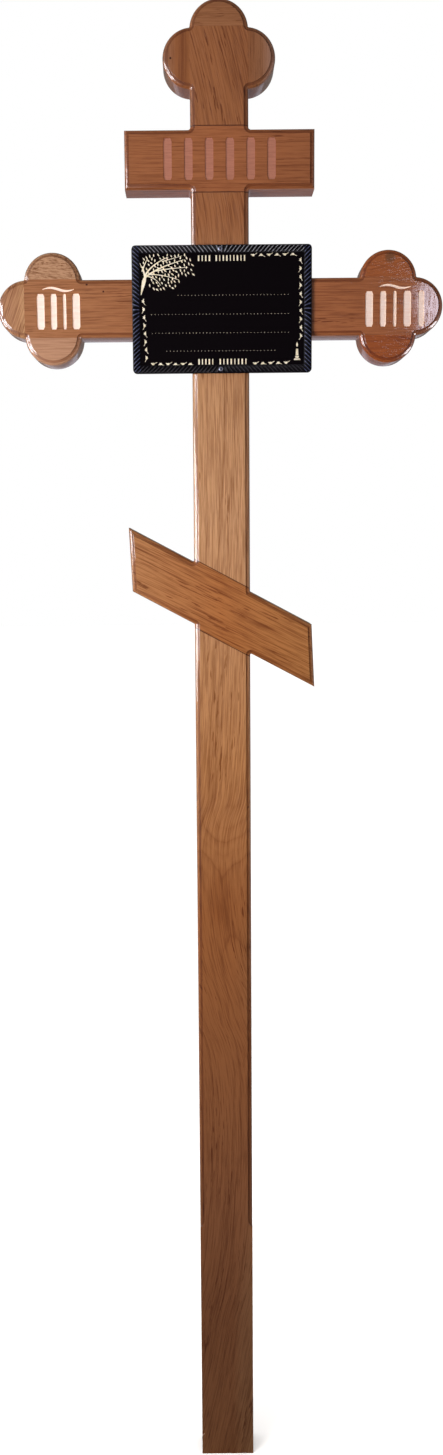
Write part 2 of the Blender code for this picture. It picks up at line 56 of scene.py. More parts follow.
SLANTING_ANGLE = math.radians(28.2)
SLANTING_END_LEAN = math.radians(2.7)
SLANTING_BAR_HEIGHT = 1.328
MAIN_BAR_HEIGHT = 1.7465
UPPER_BAR_HEIGHT = 1.944
SQUARED_HEIGHT = 2.116
LOBE_RISE = 0.037
CUSP_RADIUS = 0.0015
JOINT_GAP = 0.0003
GLUE_GAP = 0.00002
SHOULDER = 0.0035
SLANTING_CORNER_RADIUS = 0.0015
HOUSING_DEPTH = 0.025

# Moulded front edge
STEP_DEPTH = 0.0013
STEP_LEDGE = 0.0010
LEDGE_FALL = 0.0003
ROUND_RADIUS = 0.0055
BACK_ARRIS = 0.0015
MOULDING_STOP = 0.380
MOULDING_FADE = 0.014

# Shallow carved strokes
STROKE_DEPTH = 0.0012
STROKE_TIP_SHARE = 0.70
STROKE_BODY_SHARE = 0.84
WAVE_TIP_SHARE = 0.25
UPPER_STROKES = 6
UPPER_STROKE_PITCH = 0.0286
UPPER_STROKE_WIDTH = 0.0115
UPPER_STROKE_LENGTH = 0.055
ARM_STROKE_LENGTH = 0.048
ARM_STROKE_DROP = 0.004
ARM_STROKE_WIDTHS = (0.0105, 0.0085, 0.0045, 0.0105, 0.0085)
LEFT_ROW = (-1, 0.060, 0.008, 4)
RIGHT_ROW = (1, 0.082, 0.009, 5)
WAVE_LENGTH = 0.044
WAVE_RISE = 0.0022
WAVE_WIDTH = 0.0036
WAVE_LIFT = 0.026
NICK = ((-0.0415, 0.0300), (-0.0385, 0.0315), (-0.0362, 0.0345), (-0.0415, 0.0345))

# Nameplate and its screws
PLATE_WIDTH = 0.250
PLATE_HEIGHT = 0.173
PLATE_THICKNESS = 0.004
PLATE_CORNER = 0.006
PLATE_SHIFT = 0.002
PLATE_DROP = 0.0033
ROPE_WIDTH = 0.011
ROPE_RISE = 0.0026
ROPE_GROOVE = 0.0013
ROPE_PITCH = 0.0057
ROPE_SLANT = 0.0040
RIDGE_ROUNDNESS = 0.7
RELIEF_RISE = 0.0005
# Share of a strand's ridge above which a rope face takes the painted highlight
RIDGE_HIGHLIGHT_SHARE = 0.93
SCREW_HEAD_RADIUS = 0.0030
SCREW_HEAD_RIM = 0.0009
SCREW_HEAD_DOME = 0.0009
SCREW_SHANK_RADIUS = 0.0015
SCREW_LENGTH = 0.022
SCREW_SLOT_WIDTH = 0.0008
SCREW_SLOT_DEPTH = 0.0007
SCREW_DISH_RADIUS = 0.0018
SCREW_DISH_DEPTH = 0.0007
SCREW_DISH_FLOOR = 0.75
SCREW_RIM_START = 0.1

# Number of straight steps in each kind of curve
LOBE_STEPS = 56
CUSP_STEPS = 6
ROUND_STEPS = 8
FADE_STEPS = 8
WAVE_STEPS = 28
STRAND_STEPS = 8
ROPE_ROWS = 10
DOME_STEPS = 6
SCREW_SIDES = 40

OVERSIZE = 0.005
SHARP_ANGLE = math.radians(28)
FRONT = -THICKNESS / 2
BACK = THICKNESS / 2
POST_SIDE = POST_WIDTH / 2
CUSP_MARGIN = CUSP_RADIUS + JOINT_GAP
MOULDING_WIDTH = ROUND_RADIUS + STEP_LEDGE
SLANTING_SLOPE = math.tan(SLANTING_ANGLE)
BARS = {
    "upper_crossbar": (UPPER_BAR_REACH + OVERSIZE, UPPER_BAR_HEIGHT, BAR_WIDTH, 0.0),
    "main_crossbar": (MAIN_BAR_REACH, MAIN_BAR_HEIGHT, BAR_WIDTH, 0.0),
    "slanting_crossbar": (
        SLANTING_BAR_REACH + 2 * OVERSIZE, SLANTING_BAR_HEIGHT, SLANTING_WIDTH, SLANTING_SLOPE,
    ),
}
PLATE_MIDDLE = MAIN_BAR_HEIGHT - PLATE_DROP
PLATE_FIELD = FRONT - JOINT_GAP - PLATE_THICKNESS
HEAD_SEAT = PLATE_FIELD - JOINT_GAP
SCREW_HEIGHTS = {
    "nameplate_screw_top": PLATE_MIDDLE + (PLATE_HEIGHT - ROPE_WIDTH) / 2,
    "nameplate_screw_bottom": PLATE_MIDDLE - (PLATE_HEIGHT - ROPE_WIDTH) / 2,
}

# Camera fitted to the photograph's silhouette
CAMERA_PLACE = (-0.0334, -1.976, 1.430)
CAMERA_PITCH = math.radians(8.06)
CAMERA_ROLL = math.radians(-0.51)
PHOTO_HEIGHT = 1455
FOCAL_PIXELS = 1353.5
AXIS_SHIFT_PIXELS = (21.2, 0.9)
SENSOR_HEIGHT = 36.0


class Shader:
    """A material whose nodes are added and linked in a few words."""

    def __init__(self, name, **values):
        self.material = bpy.data.materials.new(name)
        self.material.use_nodes = True
        self.tree = self.material.node_tree
        self.finish(**values)
        self.place = self.add("ShaderNodeTexCoord").outputs["Object"]

    def finish(self, **values):
        """Sets or links sockets of the shader, named with underscores, and gives the material."""
        sockets = self.tree.nodes["Principled BSDF"].inputs
        for key, value in values.items():
            self.put(value, sockets[key.replace("_", " ")])
        return self.material

    def put(self, value, socket):
        if isinstance(value, bpy.types.NodeSocket):
            self.tree.links.new(value, socket)
        else:
            socket.default_value = value

    def add(self, kind, inputs=None, **settings):
        node = self.tree.nodes.new(kind)
        for key, value in settings.items():
            setattr(node, key, value)
        for key, value in (inputs or {}).items():
            self.put(value, node.inputs[key])
        return node

    def sum(self, operation, *values):
        node = self.add("ShaderNodeMath", operation=operation)
        for socket, value in zip(node.inputs, values):
            self.put(value, socket)
        return node.outputs[0]

    def times(self, a, b):
        return self.sum("MULTIPLY", a, b)

    def vector(self, operation, a, b=(0.0, 0.0, 0.0)):
        node = self.add("ShaderNodeVectorMath", {0: a, 1: b}, operation=operation)
        return node.outputs["Value" if operation in ("LENGTH", "DISTANCE") else "Vector"]

    def scaled(self, place, factors):
        return self.vector("MULTIPLY", place, factors)

    def combined(self, **parts):
        return self.add("ShaderNodeCombineXYZ", parts).outputs["Vector"]

    def axis(self, name, place=None):
        """One part of a place: of the object's own where no other is given."""
        return self.add("ShaderNodeSeparateXYZ", {"Vector": place or self.place}).outputs[name]

    def noise(self, place, detail=2.0, roughness=0.5):
        inputs = {"Vector": place, "Scale": 1.0, "Detail": detail, "Roughness": roughness}
        return self.add("ShaderNodeTexNoise", inputs)

    def stretched(self, across, along, detail=2.0, roughness=0.5, place=None):
        """Noise with so many features a metre across the grain and along it."""
        place = self.scaled(place or self.place, (across, across, along))
        return self.noise(place, detail, roughness).outputs["Fac"]

    def wander(self, place, counts, detail, reach):
        """An uneven drift of up to half of reach each way, with so many turns a metre."""
        drift = self.noise(self.scaled(place, counts), detail).outputs["Color"]
        return self.scaled(self.vector("SUBTRACT", drift, (0.5, 0.5, 0.5)), reach)

    def between(self, value, low, high, to_low=0.0, to_high=1.0, curve="SMOOTHSTEP"):
        """A step from one value to another."""
        inputs = {"Value": value, "From Min": low, "From Max": high, "To Min": to_low, "To Max": to_high}
        return self.add("ShaderNodeMapRange", inputs, interpolation_type=curve).outputs["Result"]

    def ramp(self, value, stops):
        """Map a value through (position, colour) stops."""
        node = self.add("ShaderNodeValToRGB", {"Fac": value})
        elements = node.color_ramp.elements
        while len(elements) < len(stops):
            elements.new(0.5)
        for element, (position, colour) in zip(elements, stops):
            element.position = position
            element.color = colour
        return node.outputs["Color"]

    def tones(self, stops, axis):
        """A colour that changes along an axis of the piece, through (metres, red, green, blue) stops."""
        colours = [rgb(*colour) for _, *colour in stops]
        if len(stops) == 1:
            return colours[0]
        low, high = stops[0][0], stops[-1][0]
        share = self.between(self.axis(axis), low, high, curve="LINEAR")
        return self.ramp(share, [((stop[0] - low) / (high - low), c) for stop, c in zip(stops, colours)])

    def path(self, value, stops):
        """A smooth curve through (metres, metres) stops."""
        low, high = stops[0][0], stops[-1][0]
        least = min(height for _, height in stops)
        span = max(height for _, height in stops) - least
        share = self.between(value, low, high, curve="LINEAR")
        node = self.add("ShaderNodeFloatCurve", {"Value": share})
        points = node.mapping.curves[0].points
        scaled = [((at - low) / (high - low), (height - least) / span) for at, height in stops]
        points[0].location, points[1].location = scaled[0], scaled[-1]
        for place in scaled[1:-1]:
            points.new(*place)
        node.mapping.update()
        return self.sum("MULTIPLY_ADD", node.outputs[0], span, least)

    def mix(self, share, a, b, blend_type="MIX"):
        node = self.add("ShaderNodeMix", data_type="RGBA", blend_type=blend_type)
        for socket, value in zip((node.inputs[0], node.inputs[6], node.inputs[7]), (share, a, b)):
            self.put(value, socket)
        return node.outputs[2]

    def tinted(self, colour, tint):
        return self.mix(1.0, colour, tint, "MULTIPLY")

    def bump(self, height, distance, strength, normal=None):
        inputs = {"Height": height, "Distance": distance, "Strength": strength}
        if normal:
            inputs["Normal"] = normal
        return self.add("ShaderNodeBump", inputs).outputs["Normal"]


def rgb(red, green, blue):
    """An sRGB colour of 0 to 255 as linear light, with alpha."""
    linear = []
    for value in (red, green, blue):
        share = value / 255
        linear.append(share / 12.92 if share <= 0.04045 else ((share + 0.055) / 1.055) ** 2.4)
    return (*linear, 1.0)


# Rotations that turn the grain's own way to the texture's third axis
UPRIGHT = (0, 0, 0)
LEVEL = (0, -math.pi / 2, 0)
SLANTING = (0, -math.pi / 2 - SLANTING_ANGLE, 0)

WHITE = (1.0, 1.0, 1.0, 1.0)
LATE_WOOD = (0.42, 0.29, 0.19, 1.0)
# Tint of the painted shade in the moulding's step
STEP_SHADE = (0.62, 0.52, 0.45, 1.0)
KNOT = rgb(58, 26, 16)
SEAM_DIRT = rgb(92, 50, 30)
ROPE_VALLEY = rgb(10, 9, 16)

# Year rings with their darkness through a year, the reach of dirt in seams and of the painted shade in the
# moulding's step
RING_WIDTH = 0.0055
RING_TONES = ((0.0, 0.9), (0.10, 0.5), (0.40, 0.12), (0.70, 0.0), (0.90, 0.35), (1.0, 0.9))
LOG_SPACING = 1.7
SEAM_REACH = (0.0008, 0.0020)
STEP_SHADE_REACHES = ((FRONT + 0.0005, FRONT + 0.0011), (FRONT + 0.0018, FRONT + 0.0024))

# The floor's looks to the camera, and what it gives off near the cross and further back
FLOOR_SIZE = 40.0
FLOOR_SUN = 3.5
FLOOR_SUN_ANGLE = math.radians(40)
FLOOR_SEEN = rgb(244, 243, 242)
NEAR_BOUNCE = rgb(88, 78, 74)
FAR_BOUNCES = (
    (0.3, 1.2, rgb(180, 170, 168)), (3.5, 5.5, rgb(116, 104, 109)), (7.0, 11.5, rgb(186, 186, 198)),
)
SURROUND_LIGHT = (1.0, 0.93, 0.88, 1.0)
SURROUND_STRENGTH = 0.18

# Left gleams as (middle, width, glow) along Y and (height, size) up, and what the right ones show in
LEFT_GLEAMS = ((-0.65, 0.9, 22.0), (-2.5, 1.0, 38.0))
GLEAM_HEIGHTS = ((1.35, 0.74), (2.15, 0.45))
GLEAM_DISTANCE = 1.75
GLEAM_COLOUR = (0.93, 0.94, 1.0)
RIGHT_END = ("main_crossbar", "right_lobe_end", "right_lobe_upper", "right_lobe_lower")


def leaning(turn, degrees):
    """The same grain, turned clockwise by so many degrees as seen from the front."""
    return (turn[0], turn[1] - math.radians(degrees), turn[2])


def varnished_wood(name, tones, axis="Z", turn=UPRIGHT, seed=0, contrast=1.0, streaks=1.0,
                   pith=(0.01, 0.08), drift=0.03, sway=None, heart=None, spots=(), seams=(), patches=(),
                   short=1.0):
    """Stained oak under gloss varnish: year rings of a log, fibre streaks, pores and a clear coat.

    sway moves the grain across the piece along its length, and heart moves the log's middle in depth.
    Spots, seams and broad patches tint it where told, and short shortens its figure along the grain.
    """
    wood = Shader(name, Roughness=0.40, Specular_IOR_Level=0.15, Coat_Weight=1.0, Coat_Roughness=0.05)
    along = wood.add("ShaderNodeMapping", {"Vector": wood.place, "Rotation": turn}).outputs["Vector"]
    length = wood.axis("Z", along)
    if sway:
        along = wood.vector("ADD", along, wood.combined(X=wood.path(length, sway)))
    along = wood.scaled(wood.vector("ADD", along, (0.0, 0.0, seed * LOG_SPACING)), (1.0, 1.0, short))

    bend = wood.wander(along, (0.6, 0.6, 1.6), 1.0, (drift, drift * 1.6, 0.0))
    ripple = wood.wander(along, (34.0, 34.0, 7.0), 3.0, (0.008, 0.008, 0.0))
    along = wood.vector("ADD", along, wood.scaled(bend, (0.5, 0.0, 0.0)))
    log = wood.vector("SUBTRACT", wood.vector("ADD", wood.vector("ADD", along, bend), ripple), (*pith, 0.0))
    if heart:
        log = wood.vector("SUBTRACT", log, wood.combined(Y=wood.path(length, heart)))
    years = wood.times(wood.vector("LENGTH", wood.scaled(log, (1.0, 1.0, 0.0))), 1.0 / RING_WIDTH)
    rings = wood.ramp(wood.sum("FRACT", years), [(at, (grey, grey, grey, 1.0)) for at, grey in RING_TONES])
    year = wood.combined(X=wood.sum("ROUND", years), Y=float(seed))
    strength = wood.add("ShaderNodeTexWhiteNoise", {"Vector": year}).outputs["Value"]
    rings = wood.times(rings, wood.between(strength, 0.0, 1.0, 0.15, 1.0))

    fibre = wood.stretched(520.0, 16.0, 3.0, 0.65, along)
    pores = wood.between(wood.stretched(1100.0, 60.0, 1.0, place=along), 0.58, 0.72)
    dashes = wood.between(wood.stretched(420.0, 34.0, place=along), 0.60, 0.68)
    dashes = wood.times(dashes, wood.between(wood.stretched(30.0, 5.0, 1.0, place=along), 0.42, 0.60))
    streak = wood.between(wood.stretched(130.0, 3.2, place=along), 0.54, 0.72)
    tone = wood.times(rings, 0.50 * contrast)
    for part in (
        wood.between(fibre, 0.36, 0.64, -0.24 * streaks, 0.40 * streaks),
        wood.times(dashes, 0.80 * streaks),
        wood.times(streak, 0.16 * streaks),
        wood.times(pores, 0.16),
        wood.between(wood.stretched(18.0, 2.4, place=along), 0.3, 0.7, -0.08, 0.20),
    ):
        tone = wood.sum("ADD", tone, part)
    colour = wood.tinted(wood.tones(tones, axis), wood.mix(tone, WHITE, LATE_WOOD))
    for middle, reach, tint in patches:
        off = wood.vector("DIVIDE", wood.vector("SUBTRACT", wood.place, middle), reach)
        near = wood.between(wood.vector("LENGTH", off), 0.4, 1.0, 1.0, 0.0)
        colour = wood.mix(near, colour, wood.tinted(colour, tint))
    for spot, size, tint in spots:
        near = wood.between(wood.vector("DISTANCE", wood.place, spot), size * 0.4, size, 1.0, 0.0)
        colour = wood.mix(near, colour, tint)
    for height, slope in seams:
        fall = wood.sum("MULTIPLY_ADD", wood.axis("X"), slope, wood.axis("Z"))
        off = wood.sum("ABSOLUTE", wood.sum("SUBTRACT", fall, height))
        colour = wood.mix(wood.between(off, *SEAM_REACH, 1.0, 0.0), colour, SEAM_DIRT)
    # Painted shade: the moulding's step is darkened between these depths
    low, high = (wood.between(wood.axis("Y"), *reach) for reach in STEP_SHADE_REACHES)
    colour = wood.mix(wood.sum("SUBTRACT", low, high), colour, wood.tinted(colour, STEP_SHADE))

    relief = wood.sum("ADD", wood.times(pores, -1.0), wood.times(fibre, -0.6))
    flow = wood.bump(wood.stretched(70.0, 18.0, place=along), 0.0004, 0.25)
    return wood.finish(Base_Color=colour, Normal=wood.bump(relief, 0.00012, 0.7),
                       Coat_Normal=wood.bump(relief, 0.00005, 0.5, flow))


def new_object(name, mesh_maker, *materials):
    """Makes an object from a bmesh, with its normals facing out."""
    bmesh.ops.recalc_face_normals(mesh_maker, faces=mesh_maker.faces)
    mesh = bpy.data.meshes.new(name)
    mesh_maker.to_mesh(mesh)
    mesh_maker.free()
    for material in materials:
        mesh.materials.append(material)
    obj = bpy.data.objects.new(name, mesh)
    bpy.context.scene.collection.objects.link(obj)
    return obj


def push(shape, faces, way):
    """Extrudes faces along a way. Gives the moved ones."""
    swept = bmesh.ops.extrude_face_region(shape, geom=faces)["geom"]
    moved = [item for item in swept if isinstance(item, bmesh.types.BMVert)]
    bmesh.ops.translate(shape, verts=moved, vec=way)
    return [item for item in swept if isinstance(item, bmesh.types.BMFace)]


def extruded(name, corners, way, *materials):
    """A flat shape pushed along a way. Its far cap takes the last material."""
    shape = bmesh.new()
    face = shape.faces.new([shape.verts.new(corner) for corner in corners])
    for cap in push(shape, [face], way):
        cap.material_index = max(0, len(materials) - 1)
    return new_object(name, shape, *materials)


def prism(name, outline, y_low, y_high, *materials):
    """An outline in the XZ plane, extruded along Y."""
    return extruded(name, [(x, y_low, z) for x, z in outline], (0, y_high - y_low, 0), *materials)


def add_rings(shape, rings):
    """Joins rings of equally many points. Gives their vertices, and the new faces ring by ring."""
    loops = [[shape.verts.new(point) for point in ring] for ring in rings]
    rows = []
    for low, high in zip(loops, loops[1:]):
        corners = zip(low, low[1:] + low[:1], high[1:] + high[:1], high)
        rows.append([shape.faces.new(four) for four in corners])
    return loops, rows


def loft(name, rings, *materials):
    """A closed body through rings of equally many points, with a flat cap on each end."""
    shape = bmesh.new()
    loops, _ = add_rings(shape, rings)
    shape.faces.new(loops[0])
    shape.faces.new(loops[-1])
    return new_object(name, shape, *materials)


def boolean(obj, other, operation, transfer=False):
    modifier = obj.modifiers.new(f"{operation} {other.name}", "BOOLEAN")
    modifier.operation = operation
    modifier.solver = "EXACT"
    modifier.object = other
    if transfer:
        modifier.material_mode = "TRANSFER"


def settle(obj):
    """Puts the result of an object's modifiers into its mesh."""
    depsgraph = bpy.context.evaluated_depsgraph_get()
    mesh = bpy.data.meshes.new_from_object(obj.evaluated_get(depsgraph))
    obj.modifiers.clear()
    old = obj.data
    obj.data = mesh
    bpy.data.meshes.remove(old)


def shade_smooth(obj, angle=SHARP_ANGLE):
    obj.data.shade_smooth()
    obj.data.set_sharp_from_angle(angle=angle)


def pair(point):
    return point.real, point.imag


def bulge(start, end, rise, steps):
    """Points of the arc from start to end that stands rise proud to the right of the way there."""
    start, end = complex(*start), complex(*end)
    chord = abs(end - start)
    radius = (chord**2 / 4 + rise**2) / (2 * rise)
    half = math.atan2(chord / 2, radius - rise)
    along = (end - start) / chord
    out = along * -1j
    middle = (start + end) / 2 - out * (radius - rise)
    sweep = [half * (2 * i / steps - 1) for i in range(1, steps)]
    return [pair(middle + radius * (along * math.sin(turn) + out * math.cos(turn))) for turn in sweep]


def rounded_corner(before, corner, after, radius, steps):
    """Points of an arc that rounds the corner between two straight stretches."""
    corner = complex(*corner)
    ways = [complex(*other) - corner for other in (before, after)]
    ways = [way / abs(way) for way in ways]
    half = math.acos(max(-1.0, min(1.0, (ways[0] * ways[1].conjugate()).real))) / 2
    centre = corner + sum(ways) / abs(sum(ways)) * radius / math.sin(half)
    first, last = (corner + way * radius / math.tan(half) - centre for way in ways)
    sweep = cmath.phase(last / first)
    return [pair(centre + first * cmath.rect(1, sweep * i / steps)) for i in range(steps + 1)]


def band(middle, width):
    return middle - width / 2, middle + width / 2


class Outline:
    """A closed outline drawn anticlockwise, each point with its corner radius and moulding share."""

    def __init__(self):
        self.points = []

    def to(self, x, z, radius=0.0, share=1.0):
        self.points.append((x, z, radius, share))

    def lobe_to(self, x, z, side):
        """A half-round block's edge from the last point to the cusp at (x, z)."""
        last = self.points[-1][:2]
        arc = bulge(last, (x, z), LOBE_RISE, LOBE_STEPS)
        if side < 0:
            arc = bulge((x, z), last, LOBE_RISE, LOBE_STEPS)[::-1]
        for px, pz in arc:
            self.to(px, pz)
        self.to(x, z, CUSP_RADIUS)

    def rounded(self):
        """(x, z, share) of every point, with the corners that have a radius rounded."""
        found = []
        for i, (x, z, radius, share) in enumerate(self.points):
            if not radius:
                found.append((x, z, share))
                continue
            before = self.points[i - 1][:2]
            after = self.points[(i + 1) % len(self.points)][:2]
            arc = rounded_corner(before, (x, z), after, radius, CUSP_STEPS)
            found += [(px, pz, share) for px, pz in arc]
        return found


def slanting_corner(x, side):
    """A corner of the slanting bar's end whose middle is at x, above it (+1) or below (-1)."""
    lift = side * SLANTING_WIDTH / 2 / math.cos(SLANTING_ANGLE)
    lean = math.tan(SLANTING_END_LEAN)
    rise = lift / (1 - SLANTING_SLOPE * lean)
    return x - lean * rise, SLANTING_BAR_HEIGHT - SLANTING_SLOPE * x + rise


def slanting_edge(x, side):
    """Height of the slanting bar's edge at x, above (+1) or below (-1)."""
    lift = SLANTING_WIDTH / 2 / math.cos(SLANTING_ANGLE)
    return SLANTING_BAR_HEIGHT - SLANTING_SLOPE * x + side * lift


def turns(steps, whole):
    """Angles from nothing up to a whole, in equal steps."""
    return [whole * i / steps for i in range(steps + 1)]


def moulding_stop(outline, side):
    """The moulding runs out in a quarter circle above the foot, on one side of the post."""
    for turn in turns(FADE_STEPS, math.pi / 2):
        height = MOULDING_STOP + MOULDING_FADE * (1 - math.cos(turn))
        outline.to(side * POST_SIDE, height, share=math.sin(turn))


def cross_outline():
    """The front outline of the assembled cross: each side drawn upwards, the left one then reversed."""
    path = Outline()
    main_low, main_high = band(MAIN_BAR_HEIGHT, BAR_WIDTH)
    upper_low, upper_high = band(UPPER_BAR_HEIGHT, BAR_WIDTH)
    for side in (1, -1):
        half, edge = Outline(), side * POST_SIDE
        half.to(edge, 0.0, share=0.0)
        moulding_stop(half, side)
        half.to(edge, slanting_edge(edge, -1), SLANTING_CORNER_RADIUS)
        half.to(*slanting_corner(side * SLANTING_BAR_REACH, -1))
        half.to(*slanting_corner(side * SLANTING_BAR_REACH, 1))
        half.to(edge, slanting_edge(edge, 1), SLANTING_CORNER_RADIUS)
        end, root = side * MAIN_BAR_REACH, side * (MAIN_BAR_REACH - BAR_WIDTH)
        half.to(edge, main_low, SHOULDER)
        half.to(root, main_low, CUSP_RADIUS)
        half.lobe_to(end, main_low, side)
        half.lobe_to(end, main_high, side)
        half.lobe_to(root, main_high, side)
        half.to(edge, main_high, SHOULDER)
        half.to(edge, upper_low, SHOULDER)
        half.to(side * UPPER_BAR_REACH, upper_low)
        half.to(side * UPPER_BAR_REACH, upper_high)
        half.to(edge, upper_high, SHOULDER)
        half.to(edge, SQUARED_HEIGHT - POST_WIDTH, CUSP_RADIUS)
        half.lobe_to(edge, SQUARED_HEIGHT, side)
        if side > 0:
            path.points += half.points
            path.lobe_to(-POST_SIDE, SQUARED_HEIGHT, 1)
        else:
            path.points += half.points[-2::-1]
    return path.rounded()


def inward(outline):
    """For each point, the way that moves both its edges in by one unit."""
    points = [complex(x, z) for x, z, _ in outline]
    normals = [(b - a) / abs(b - a) * 1j for a, b in zip(points, points[1:] + points[:1])]
    return [
        pair((before + after) / (1 + (before * after.conjugate()).real))
        for before, after in zip(normals[-1:] + normals[:-1], normals)
    ]


def moulding_profile():
    """(inset, depth) of the front edge: a step, a ledge and a quarter round."""
    profile = [(MOULDING_WIDTH, 0.0), (MOULDING_WIDTH, STEP_DEPTH)]
    top = STEP_DEPTH + LEDGE_FALL
    for turn in turns(ROUND_STEPS, math.pi / 2):
        inset, fall = ROUND_RADIUS * (1 - math.sin(turn)), ROUND_RADIUS * (1 - math.cos(turn))
        profile.append((inset, top + fall))
    return profile


def make_envelope():
    """The whole cross in one body, with its moulded edge, which each piece is cut to."""
    outline = cross_outline()
    ways = inward(outline)
    rings = []
    for inset, depth in moulding_profile():
        ring = [(x + wx * inset * share, FRONT + depth, z + wz * inset * share)
                for (x, z, share), (wx, wz) in zip(outline, ways)]
        rings.append(ring)
    for inset, y in ((0.0, BACK - BACK_ARRIS), (BACK_ARRIS, BACK)):
        rings.append([(x + wx * inset, y, z + wz * inset) for (x, z, _), (wx, wz) in zip(outline, ways)])
    return loft("envelope", rings)


def rectangle(x0, x1, z0, z1):
    return [(x0, z0), (x1, z0), (x1, z1), (x0, z1)]


def bar_blank(reach, middle, width, slope=0.0):
    """A bar's outline before its edges are cut, with room for its shoulders."""
    low, high = band(middle, (width + 2 * SHOULDER) * math.hypot(1, slope))
    return [(x, z - slope * x) for x, z in rectangle(-reach, reach, low, high)]


def blocked_blank(reach, middle, width):
    """A bar's outline with square ends of its true width, where the half-round blocks are glued."""
    low, high = band(middle, width)
    wide_low, wide_high = low - SHOULDER, high + SHOULDER
    neck = reach - width - CUSP_MARGIN - JOINT_GAP
    return [
        (-neck, wide_low), (neck, wide_low), (neck, low), (reach, low),
        (reach, high), (neck, high), (neck, wide_high), (-neck, wide_high),
        (-neck, high), (-reach, high), (-reach, low), (-neck, low),
    ]


def seat_cutter(name, low, high, slope):
    """Cutter for the post: the bar's seat in its front half, and a hair off both sides beside it."""
    wide, side = POST_SIDE + 2 * OVERSIZE, POST_SIDE - JOINT_GAP
    front, back, floor = FRONT - OVERSIZE, BACK + OVERSIZE, BACK - HOUSING_DEPTH + JOINT_GAP
    section = [
        (-wide, front), (wide, front), (wide, back), (side, back),
        (side, floor), (-side, floor), (-side, back), (-wide, back),
    ]
    return extruded(name, [(x, y, low - slope * x) for x, y in section], (0, 0, high - low))


def rod(name, radius, y_range, height):
    """A round rod along Y, over the middle of the post at the given height."""
    shape = bmesh.new()
    y_low, y_high = y_range
    size = {"radius1": radius, "radius2": radius, "depth": y_high - y_low}
    bmesh.ops.create_cone(shape, cap_ends=True, segments=SCREW_SIDES, **size)
    for vert in shape.verts:
        x, y, z = vert.co
        vert.co = (x, (y_low + y_high) / 2 + z, height - y)
    return new_object(name, shape)


def stroke(x, z, width, length):
    """An upright stroke that narrows towards both ends."""
    half, end = width / 2, length / 2
    tip, body = half * STROKE_TIP_SHARE, end * STROKE_BODY_SHARE
    return [
        (x - tip, z - end), (x + tip, z - end), (x + half, z - body), (x + half, z + body),
        (x + tip, z + end), (x - tip, z + end), (x - half, z + body), (x - half, z - body),
    ]


def wave(x, z):
    """A lying stroke in one wave, with pointed ends."""
    upper, lower = [], []
    for i in range(WAVE_STEPS + 1):
        t = i / WAVE_STEPS
        along = x + WAVE_LENGTH / 2 * (2 * t - 1)
        middle = z + WAVE_RISE * math.sin(2 * math.pi * t)
        half = WAVE_WIDTH / 2 * (WAVE_TIP_SHARE + (1 - WAVE_TIP_SHARE) * math.sin(math.pi * t))
        upper.append((along, middle + half))
        lower.append((along, middle - half))
    return lower + upper[::-1]


def upper_strokes():
    """The outlines of the upper bar's row, centred on the post."""
    first = -(UPPER_STROKES - 1) / 2 * UPPER_STROKE_PITCH
    return [
        stroke(first + i * UPPER_STROKE_PITCH, UPPER_BAR_HEIGHT, UPPER_STROKE_WIDTH, UPPER_STROKE_LENGTH)
        for i in range(UPPER_STROKES)
    ]


def arm_strokes(side, row_width, shift, count):
    """The outlines of one arm's strokes: an upright row under a wave."""
    middle = side * (MAIN_BAR_REACH - BAR_WIDTH / 2) + shift
    height = MAIN_BAR_HEIGHT - ARM_STROKE_DROP
    widths = [ARM_STROKE_WIDTHS[i % len(ARM_STROKE_WIDTHS)] for i in range(count)]
    gap = (row_width - sum(widths)) / (count - 1)
    shapes = []
    x = middle - row_width / 2
    for width in widths:
        shapes.append(stroke(x + width / 2, height, width, ARM_STROKE_LENGTH))
        x += width + gap
    shapes.append(wave(middle, MAIN_BAR_HEIGHT + WAVE_LIFT))
    return shapes


def carve(objects, shapes, wall, floor):
    """Sinks each outline into the front of the objects, with its own wall and floor materials."""
    cutters = []
    for i, shape in enumerate(shapes):
        cutter = prism(f"cutter_{i}", shape, FRONT - OVERSIZE, FRONT + STROKE_DEPTH, wall, floor)
        for obj in objects:
            boolean(obj, cutter, "DIFFERENCE", transfer=True)
        cutters.append(cutter)
    return cutters


def discard(objects):
    for obj in objects:
        mesh = obj.data
        bpy.data.objects.remove(obj)
        bpy.data.meshes.remove(mesh)


# The post's grain: it leans one way near the foot, the other way above it, and runs straight above that
POST_SWAY = (
    (0.0, 0.0), (0.20, -0.040), (0.42, -0.072), (0.55, -0.076), (0.72, -0.045), (0.88, -0.008),
    (0.96, -0.004), (1.06, -0.022), (1.25, -0.032), (1.75, -0.034), (1.95, -0.010), (2.15, 0.036),
)
POST_HEART = (
    (0.0, 0.004), (0.45, 0.000), (0.80, 0.012), (0.90, 0.016), (1.06, -0.010), (1.30, -0.006), (2.15, 0.010),
)
# Broad patches on the post: the first two are a painted sheen of reflected light, greyer and bluer near the
# right edge low down; the third darkens the middle at about 0.9 m
POST_PATCHES_AND_PAINTED_SHEEN = (
    ((0.040, FRONT, 0.12), (0.034, 1.0, 0.36), (1.10, 1.28, 1.45, 1.0)),
    ((0.046, FRONT, 0.80), (0.034, 1.0, 0.16), (1.02, 1.10, 1.20, 1.0)),
    ((-0.005, FRONT, 0.90), (0.022, 1.0, 0.06), (0.86, 0.80, 0.74, 1.0)),
)
POST_SEAMS = tuple(
    (height, slope)
    for _, middle, width, slope in (BARS["slanting_crossbar"], BARS["upper_crossbar"])
    for height in band(middle, (width + 2 * SHOULDER) * math.hypot(1, slope))
)
POST_SPOT = ((0.0370, FRONT, 1.036), 0.0034, rgb(96, 62, 44))
RIGHT_SPOT = ((0.236, FRONT, 1.812), 0.010, rgb(120, 72, 40))
